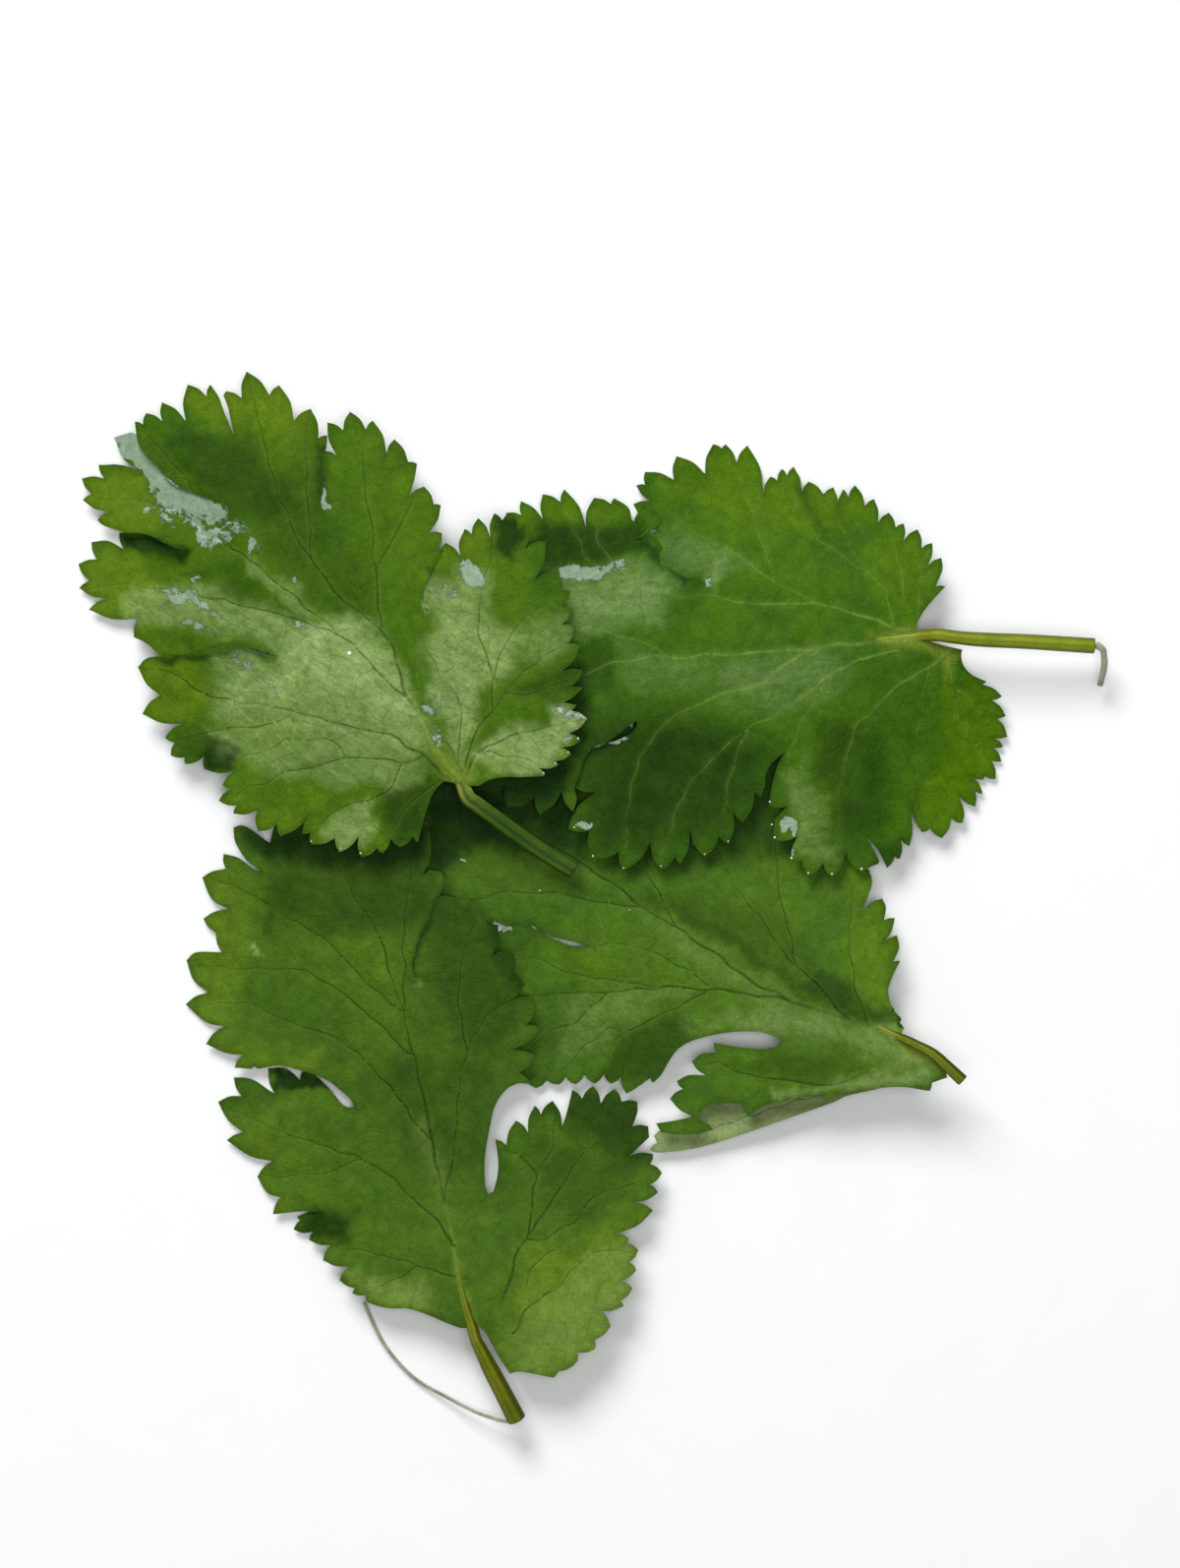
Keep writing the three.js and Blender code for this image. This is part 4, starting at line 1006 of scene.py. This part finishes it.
RIGHT_ZONES = {
    "water_and_glint": (
        (3, 0.75, "565,578 585,574 625,576 632,586 600,592 570,590"),
        (2.5, 1, "600,765 606,756 613,760 608,769"),
        (2.5, 0.9, "614,759 626,752 640,744 644,746 630,756 618,762"),
        (3, 0.9, "585,842 598,834 606,838 598,846"),
        (3, 0.9, "786,834 796,824 810,832 813,852 806,854 800,838 790,846"),
        (4, 0.7, "800,875 808,862 813,871"),
        (3, 0.7, "712,592 722,589 725,598 714,601"),
    ),
    "painted_sheen": (
        (16, 0.6, "560,590 640,582 684,600 664,635 600,642 560,630"),
        (14, 0.5, "500,580 560,580 575,640 520,650"),
        (16, 0.4, "730,676 800,658 862,664 850,702 790,718 730,712"),
        (12, 0.25, "620,655 720,668 720,704 640,704"),
        (12, 0.3, "660,545 700,540 770,575 730,585 680,580"),
        (10, 0.4, "795,790 815,770 840,840 850,880 805,870 810,830"),
        (6, 0.6, "712,592 730,570 748,566 738,588 722,600"),
    ),
    "shadow_and_deep": (
        (30, 0.85, "600,725 680,725 760,745 785,765 765,805 740,850 600,870 590,800"),
        (10, 1, "490,690 600,680 600,740 560,830 500,830"),
        (14, 0.55, "830,730 900,740 900,830 860,850 830,800"),
        (8, 0.8, "545,530 640,540 650,570 560,575 540,560"),
        (8, 0.5, "808,490 820,500 840,540 830,545 812,510"),
        (4, 1, "645,560 662,578 700,590 690,596 655,584 640,560"),
        (8, 0.6, "915,850 925,840 920,880 880,890 885,875"),
        (6, 0.5, "600,640 585,700 620,700 625,650"),
    ),
    "fresh_and_glow": (
        (16, 0.8, "655,470 760,445 870,500 900,530 850,540 790,545 740,530 690,510"),
        (16, 0.6, "900,530 940,550 960,590 925,640 880,610 880,560"),
        (12, 0.6, "490,510 620,505 640,530 560,540 500,540"),
        (14, 0.8, "960,690 1010,705 1025,750 1000,810 950,850 930,830 960,760"),
        (14, 0.4, "840,880 860,800 800,780 800,870"),
    ),
    "hub": (
        (7, 0.7, "880,646 930,638 975,652 978,664 955,664 905,656"),
        (5, 0.6, "945,665 962,655 975,668 960,690"),
    ),
}

LOWER_VEINS = (
    (0.46, 0.34, "960,1081 945,1075 925,1066 907,1052"),
    (0.34, 0.24, "907,1052 862,1035 800,1016 755,990 721,966 687,942 652,921"),
    (0.24, 0.12, "652,921 625,900 594,880 560,858 520,838 480,820 440,812"),
    (0.26, 0.14, "800,1016 760,1010 721,1005 690,1003 650,1005 618,1008 580,1009 545,1012 510,1018 "
                 "475,1030"),
    (0.16, 0.10, "618,1008 600,1025 590,1034 570,1044 555,1052 530,1075"),
    (0.18, 0.10, "721,1005 690,1022 665,1034 650,1042 634,1049 622,1062 615,1090"),
    (0.14, 0.08, "634,1049 620,1044 605,1056 590,1067 580,1080 570,1090"),
    (0.16, 0.08, "721,1000 687,980 652,962 620,960 594,961"),
    (0.14, 0.08, "690,1003 650,1000 611,995 580,989 560,981 540,975 500,975"),
    (0.18, 0.10, "652,921 618,918 583,911 542,907 501,909 470,915 430,900"),
    (0.14, 0.08, "687,942 665,900 640,860 620,810"),
    (0.24, 0.10, "862,1035 835,1007 811,983 786,952 773,931 755,911 730,870"),
    (0.14, 0.08, "811,983 800,940 790,890 785,830"),
    (0.16, 0.08, "880,1040 868,1000 862,950 868,900"),
    (0.36, 0.26, "925,1070 900,1085 880,1088 860,1096 841,1103 820,1099 790,1096"),
    (0.12, 0.08, "790,1096 760,1090 730,1080 705,1080"),
)
LOWER_SLIT = "500,948 512,943 522,942 533,939 545,943 556,950 568,955 582,959 597,961"
LOWER_LAPS = (
    lap(0.6, 0.0, 2.0, 0.0, "908,1036 914,1050 930,1063 945,1076 956,1088"),
    lap(0.3, 0.12, 2.4, 0.56, LOWER_SLIT),
    lap(-0.26, -0.12, 2.4, 0.56, LOWER_SLIT),
    lap(0.5, 0.06, 3.0, 0.3, "698,790 699,828 704,852 705,868"),
    lap(-0.5, -0.06, 3.0, 0.3, "698,790 699,828 704,852 705,868"),
    tuck((0, -64), 0.0, 8.2, 4.0, 4.0, "540,778 560,770 640,776 720,780 790,790 850,832",
         "850,940 540,940"),
    tuck((-14, -12), 0.0, 3.5, 2.0, 2.0, "398,850 412,828 436,798 462,780 496,770",
         "496,860 398,900"),
)
LOWER_ZONES = {
    "water_and_glint": (
        (2, 0.9, "526,941 540,938 552,943 540,944"),
        (2, 0.9, "508,948 518,947 524,953 514,951"),
        (2, 0.8, "464,870 472,868 480,871 472,873"),
    ),
    "painted_sheen": (
        (14, 0.5, "700,1040 800,1020 900,1050 960,1085 900,1082 860,1056 800,1050"),
        (6, 0.6, "780,1104 830,1101 880,1088 940,1088 940,1102 850,1105 790,1114"),
        (12, 0.3, "570,1020 640,1000 700,1005 650,1035 570,1080"),
        (14, 0.25, "650,925 720,960 800,1010 780,1020 700,980"),
    ),
    "shadow_and_deep": (
        (12, 1, "430,790 600,790 600,880 560,870 480,860 440,900"),
        (14, 0.7, "600,780 900,800 880,850 760,880 620,885"),
        (8, 0.65, "835,985 870,1008 908,1038 900,1048 860,1032 815,1005"),
        (10, 0.6, "640,1040 700,1030 700,1055 670,1100 600,1105 620,1070"),
        (14, 0.3, "680,900 800,930 860,1010 780,990 700,940"),
        (5, 0.4, "655,912 700,938 760,975 810,1007 862,1028 862,1018 816,997 766,964 706,926 662,902"),
        (10, 0.4, "800,1070 870,1080 820,1095 740,1085"),
        (8, 0.3, "450,890 520,940 530,955 490,960 450,930"),
    ),
    "fresh_and_glow": (
        (14, 0.7, "860,860 890,880 910,950 905,1030 870,1000 860,930"),
        (10, 0.6, "930,1065 960,1082 950,1100 910,1080"),
        (12, 0.4, "560,970 620,965 620,990 570,990"),
    ),
    "hub": (
        (6, 0.8, "912,1058 935,1066 962,1084 960,1097 940,1086 915,1070"),
    ),
}

LEFT_VEINS = (
    (0.52, 0.34, "478,1345 473,1320 467,1295 462,1265 456,1235"),
    (0.34, 0.16, "456,1235 447,1195 440,1160 432,1120 422,1075 410,1030 395,985"),
    (0.16, 0.10, "395,985 385,950 365,915 345,880 335,840"),
    (0.14, 0.10, "410,1030 412,985 412,940 418,890 416,840"),
    (0.24, 0.12, "462,1265 445,1240 420,1218 398,1195 370,1178 330,1165 285,1150 230,1125"),
    (0.14, 0.08, "370,1178 335,1190 300,1195 268,1196"),
    (0.18, 0.10, "470,1300 445,1290 425,1285 395,1275 360,1268 330,1262"),
    (0.12, 0.08, "425,1285 400,1300 375,1312"),
    (0.18, 0.10, "440,1160 410,1120 380,1085 345,1055 300,1040 250,1020 200,1022"),
    (0.14, 0.08, "422,1075 385,1040 345,1005 300,985 250,985 200,980"),
    (0.14, 0.08, "410,1030 370,995 330,955 290,930 250,905 212,893"),
    (0.18, 0.10, "452,1220 462,1170 466,1120 474,1070 490,1040 520,1010"),
    (0.14, 0.08, "474,1070 468,1020 470,980 480,940"),
    (0.34, 0.24, "509,1340 515,1310 521,1290 529,1270 535,1257 541,1250"),
    (0.22, 0.12, "541,1250 549,1236 559,1222 570,1205 582,1188 592,1175 605,1150 615,1118"),
    (0.20, 0.10, "535,1259 545,1260 557,1257 570,1248 585,1238 600,1220 612,1211 645,1202 668,1192"),
    (0.20, 0.10, "535,1257 538,1240 541,1222 543,1205 547,1190 553,1180 562,1160 566,1130"),
    (0.22, 0.10, "520,1352 527,1345 532,1330 540,1322 552,1315 572,1300 585,1285 610,1270 645,1272"),
    (0.14, 0.08, "537,1305 539,1290 548,1278 560,1268 590,1255"),
    (0.12, 0.08, "545,1190 530,1175 515,1168"),
)
LEFT_LAPS = (
    lap(0.35, -0.15, 1.8, 0.3, "270,1086 285,1086 300,1088 318,1092 334,1100"),
    lap(-0.52, 0.22, 2.4, 0.1, "453,902 447,918 441,935 434,952 428,968 426,984 425,997"),
    lap(0.3, -0.15, 2.0, 0.4, "290,1237 310,1234 330,1231"),
)
LEFT_ZONES = {
    "painted_sheen": (
        (16, 0.4, "560,1310 600,1270 650,1255 640,1330 600,1370 560,1395 520,1392 525,1350"),
        (12, 0.45, "350,1290 430,1300 450,1330 390,1325"),
        (2, 0.9, "252,963 262,964 270,974 263,973"),
        (5, 0.7, "420,994 430,993 432,1001 422,1002"),
        (12, 0.28, "424,1140 436,1140 452,1200 448,1230 436,1190"),
    ),
    "shadow_and_deep": (
        (10, 1, "240,845 300,842 440,835 440,870 400,885 300,880 260,870"),
        (16, 0.6, "270,880 440,880 440,940 330,950 270,930"),
        (6, 0.5, "268,912 274,912 282,955 272,955"),
        (3, 0.9, "449,905 440,924 431,948 423,970 419,986 425,988 433,966 441,944 449,922 455,906"),
        (4, 1, "272,1088 305,1090 335,1098 330,1107 300,1107 278,1108"),
        (10, 0.95, "296,1250 325,1230 362,1230 352,1260 320,1266"),
        (20, 0.75, "600,1100 655,1105 675,1180 640,1190 570,1140 550,1120"),
        (16, 0.55, "440,900 500,930 540,1000 520,1060 475,1080 450,1000"),
        (14, 0.3, "540,1150 620,1180 640,1210 600,1240 550,1220"),
        (6, 0.7, "500,930 530,960 540,1010 515,1000 500,960"),
        (5, 0.6, "420,1000 436,950 448,920 430,960"),
        (12, 0.4, "400,1080 500,1080 500,1180 440,1200 400,1150"),
    ),
    "fresh_and_glow": (
        (12, 0.6, "195,880 240,870 260,930 230,1060 200,1040 190,960"),
        (12, 0.7, "230,1060 330,1070 320,1090 240,1090"),
        (10, 0.5, "225,1120 270,1120 290,1230 270,1220 235,1170"),
        (16, 0.9, "530,1270 600,1260 660,1230 640,1330 600,1390 540,1400 520,1350"),
        (10, 0.8, "350,1290 440,1310 430,1335 350,1320"),
    ),
    "hub": (
        (6, 0.6, "462,1270 480,1330 503,1366 490,1350 468,1310"),
    ),
}

LOBE_VEINS = ((0.2, 0.1, "925,1090 850,1108 780,1128 700,1155"),)
LOBE_ZONES = {
    "shadow_and_deep": (
        (8, 0.3, "712,1122 758,1120 757,1132 730,1140 714,1134"),
        (6, 0.35, "760,1136 830,1116 920,1100 900,1108 820,1126 770,1142"),
    ),
}


def make_leaves():
    """The four blades, by name, and the turned lobe."""
    # Each leaf's green, fresher green, painted sheen colour and vein colour, then the angle of the sheen's
    # streaks.
    top = leaf_material("leaf_top", colour(66, 108, 10), colour(98, 130, 16), colour(156, 184, 106),
                        colour(150, 172, 70), -29)
    right = leaf_material("leaf_right", colour(62, 106, 14), colour(88, 126, 4), colour(124, 158, 84),
                          colour(124, 154, 62), 8)
    lower = leaf_material("leaf_lower", colour(70, 110, 26), colour(94, 132, 18), colour(132, 160, 80),
                          colour(122, 152, 62), -30)
    left = leaf_material("leaf_left", colour(70, 108, 24), colour(100, 132, 26), colour(134, 160, 72),
                         colour(114, 144, 52), 75)
    under = leaf_material("leaf_underside", colour(146, 166, 108), colour(146, 166, 104),
                          colour(150, 164, 120), colour(150, 164, 116), 20, deep=colour(104, 112, 70),
                          through=colour(130, 160, 60), translucent=0.2)
    blades = {
        "top": leaf_blade("top_leaf", "top_leaf_blade", "fresh_leaf", top, TOP_VEINS, TOP_LAPS, TOP_ZONES,
                          seed=3, pale_from=0.24),
        "right": leaf_blade("right_leaf", "right_leaf_blade", "fresh_leaf", right, RIGHT_VEINS, RIGHT_LAPS,
                            RIGHT_ZONES, seed=11, pale_from=0.08),
        "lower": leaf_blade("lower_leaf", "lower_leaf_blade", "fresh_leaf", lower, LOWER_VEINS, LOWER_LAPS,
                            LOWER_ZONES, seed=19, pale_from=0.26),
        "left": leaf_blade("left_leaf", "left_leaf_blade", "dark_leaf", left, LEFT_VEINS, LEFT_LAPS,
                           LEFT_ZONES, seed=27, pale_from=0.26),
    }
    leaf_blade("lower_leaf_lobe", "lower_leaf_turned_lobe", "leaf_underside", under, LOBE_VEINS, (),
               LOBE_ZONES, seed=31, pale_from=0.16)
    return blades


def make_stalks(blades):
    olive = stalk_material("stalk_olive", colour(62, 96, 24), colour(88, 118, 44), colour(28, 54, 6))
    yellow = stalk_material("stalk_yellow", colour(118, 134, 24), colour(138, 150, 40), colour(84, 84, 26))
    dark = stalk_material("stalk_dark", colour(104, 118, 22), colour(128, 138, 34), colour(40, 46, 2))
    brown = stalk_material("stalk_brown", colour(98, 108, 16), colour(118, 122, 22), colour(54, 56, 4),
                           colour(104, 128, 38))
    rod("top_stalk", "top_leaf_stalk", "stalk", olive,
        lead_in(blades["top"], (458, 779, -0.12, 0.3), (465, 788, -0.02, 0.44), (471, 798, 0.05, 0.58)),
        plan(468, 795), groove=0.1)
    rod("right_stalk", "right_leaf_stalk", "stalk", yellow,
        lead_in(blades["right"], (884, 651, -0.06, 0.14), (908, 649, 0.02, 0.3), (932, 647, 0.14, 0.46)),
        plan(931, 650), groove=0.06, slim=1.12, least=0.56, turn=1.25)
    rod("lower_stalk", "lower_leaf_stalk", "stalk", dark,
        lead_in(blades["lower"], (880, 1036, 0.0, 0.14), (896, 1044, 0.1, 0.24), (910, 1051, 0.24, 0.32)),
        plan(911, 1050), groove=0.08, flatten=0.76, least=0.36, turn=0.9)
    rod("left_stalk", "left_leaf_stalk", "stalk", brown,
        lead_in(blades["left"], (464, 1282, -0.1, 0.22), (469, 1303, 0.05, 0.32), (474, 1324, 0.18, 0.42),
                (480, 1343, 0.28, 0.48)),
        plan(478, 1345), groove=0.1, turn=0.9)


def make_strands():
    """The strip torn from the right stalk and the fibre peeled from the left one.

    Each starts within its stalk, at a point whose height is given in mm.
    """
    dried = fibre_material("dried_fibre")
    shape = {"sides": 16, "groove": 0.0, "ridges": 3}
    rod("torn_strip", "right_stalk_torn_strip", "dried_fibre", dried, [((*plan(1112, 656), 3.62), 0.34)],
        plan(1119, 661), flatten=0.6, slim=0.8, **shape)
    rod("peeled_fibre", "left_stalk_peeled_fibre", "dried_fibre", dried, [((*plan(518, 1443), 2.6), 0.16)],
        plan(509, 1442), flatten=0.8, slim=0.45, **shape)


# Pale points that end the teeth, and a flake: (x, y) in plan units and the size in mm.
TOOTH_POINTS = {
    "top": ((318, 855, 0.06), (348, 862, 0.06), (368, 867, 0.08), (553, 786, 0.08), (565, 776, 0.08),
            (578, 765, 0.08), (588, 751, 0.09), (357, 665, 0.2)),
    "right": ((784, 838, 0.08), (787, 851, 0.1), (804, 872, 0.1), (821, 887, 0.08), (845, 888, 0.08),
              (875, 883, 0.1), (782, 815, 0.08), (603, 870, 0.08), (584, 841, 0.07), (672, 880, 0.06),
              (716, 868, 0.06), (740, 855, 0.06), (634, 882, 0.06)),
    "lower": ((549, 905, 0.06), (640, 925, 0.05)),
}
POINT_FLATNESS = 0.8         # a point's height as a share of its width


def make_tooth_points(blades):
    """The hard white points at the tips of the teeth, sunk to their middles in the blades."""
    n = Nodes("tooth_point")
    tone = n.mix(n.ramp(n.noise(0.1, 2), 0.3, 0.7), colour(206, 214, 190), colour(236, 240, 228))
    material = n.finish(n.surface(tone, 0.35))
    for leaf, points in TOOTH_POINTS.items():
        top = blade_top(blades[leaf])
        shape = bmesh.new()
        for x, y, size in points:
            place = plan(x, y)
            stretch = Matrix.Diagonal((size * MM, size * MM, POINT_FLATNESS * size * MM, 1))
            lift = Matrix.Translation((place[0] * MM, place[1] * MM, top(place) * MM))
            bmesh.ops.create_icosphere(shape, subdivisions=2, radius=1, matrix=lift @ stretch)
        mesh = bpy.data.meshes.new(leaf + "_tooth_points")
        shape.to_mesh(mesh)
        shape.free()
        mesh.shade_smooth()
        add_piece(mesh, material, "fresh_leaf")


# ------------------------------------------------------------------- stage
# Places and sizes here are in metres.

FLOOR_SIZE = 3
ROOM_LIGHT = 0.23
LENS, SENSOR = 200, 36       # in mm


def area_light(name, place, size, power):
    """A round lamp turned to the middle of the bunch."""
    lamp = bpy.data.lights.new(name, "AREA")
    lamp.shape = "DISK"
    lamp.size = size
    lamp.energy = power
    holder = bpy.data.objects.new(name, lamp)
    holder.location = place
    holder.rotation_euler = (-Vector(place)).to_track_quat("-Z", "Y").to_euler()
    bpy.context.scene.collection.objects.link(holder)


def make_floor():
    mesh = bpy.data.meshes.new("floor")
    half = FLOOR_SIZE / 2
    corners = [(-half, -half, 0), (half, -half, 0), (half, half, 0), (-half, half, 0)]
    mesh.from_pydata(corners, [], [(0, 1, 2, 3)])
    n = Nodes("white_surface")
    tone = n.mix(n.noise(4), (0.88, 0.89, 0.9), (0.9, 0.905, 0.91))
    mesh.materials.append(n.finish(n.surface(tone, 0.6)))
    floor = bpy.data.objects.new("floor", mesh)
    bpy.context.scene.collection.objects.link(floor)


def make_lights():
    world = bpy.data.worlds.new("studio")
    world.use_nodes = True
    backdrop = world.node_tree.nodes["Background"]
    backdrop.inputs["Color"].default_value = (1, 1, 1, 1)
    backdrop.inputs["Strength"].default_value = ROOM_LIGHT
    bpy.context.scene.world = world
    area_light("key", (-0.2, 0.52, 0.58), 0.4, 5.1)
    area_light("overhead", (0.04, -0.05, 0.85), 0.4, 2.6)
    bpy.context.scene.view_settings.view_transform = "Standard"


def make_camera():
    """A camera straight above, whose frame takes in the whole of PLAN_FRAME at the floor."""
    camera = bpy.data.cameras.new("camera")
    camera.lens = LENS
    camera.sensor_width = SENSOR
    camera.clip_start, camera.clip_end = 0.01, 10
    holder = bpy.data.objects.new("camera", camera)
    x, y = plan(PLAN_FRAME[0] / 2, PLAN_FRAME[1] / 2)
    distance = PLAN_FRAME[1] * PLAN_STEP * LENS / SENSOR
    holder.location = (x * MM, y * MM, distance * MM)
    bpy.context.scene.collection.objects.link(holder)
    bpy.context.scene.camera = holder


leaf_blades = make_leaves()
make_stalks(leaf_blades)
make_strands()
make_tooth_points(leaf_blades)
make_floor()
make_lights()
make_camera()
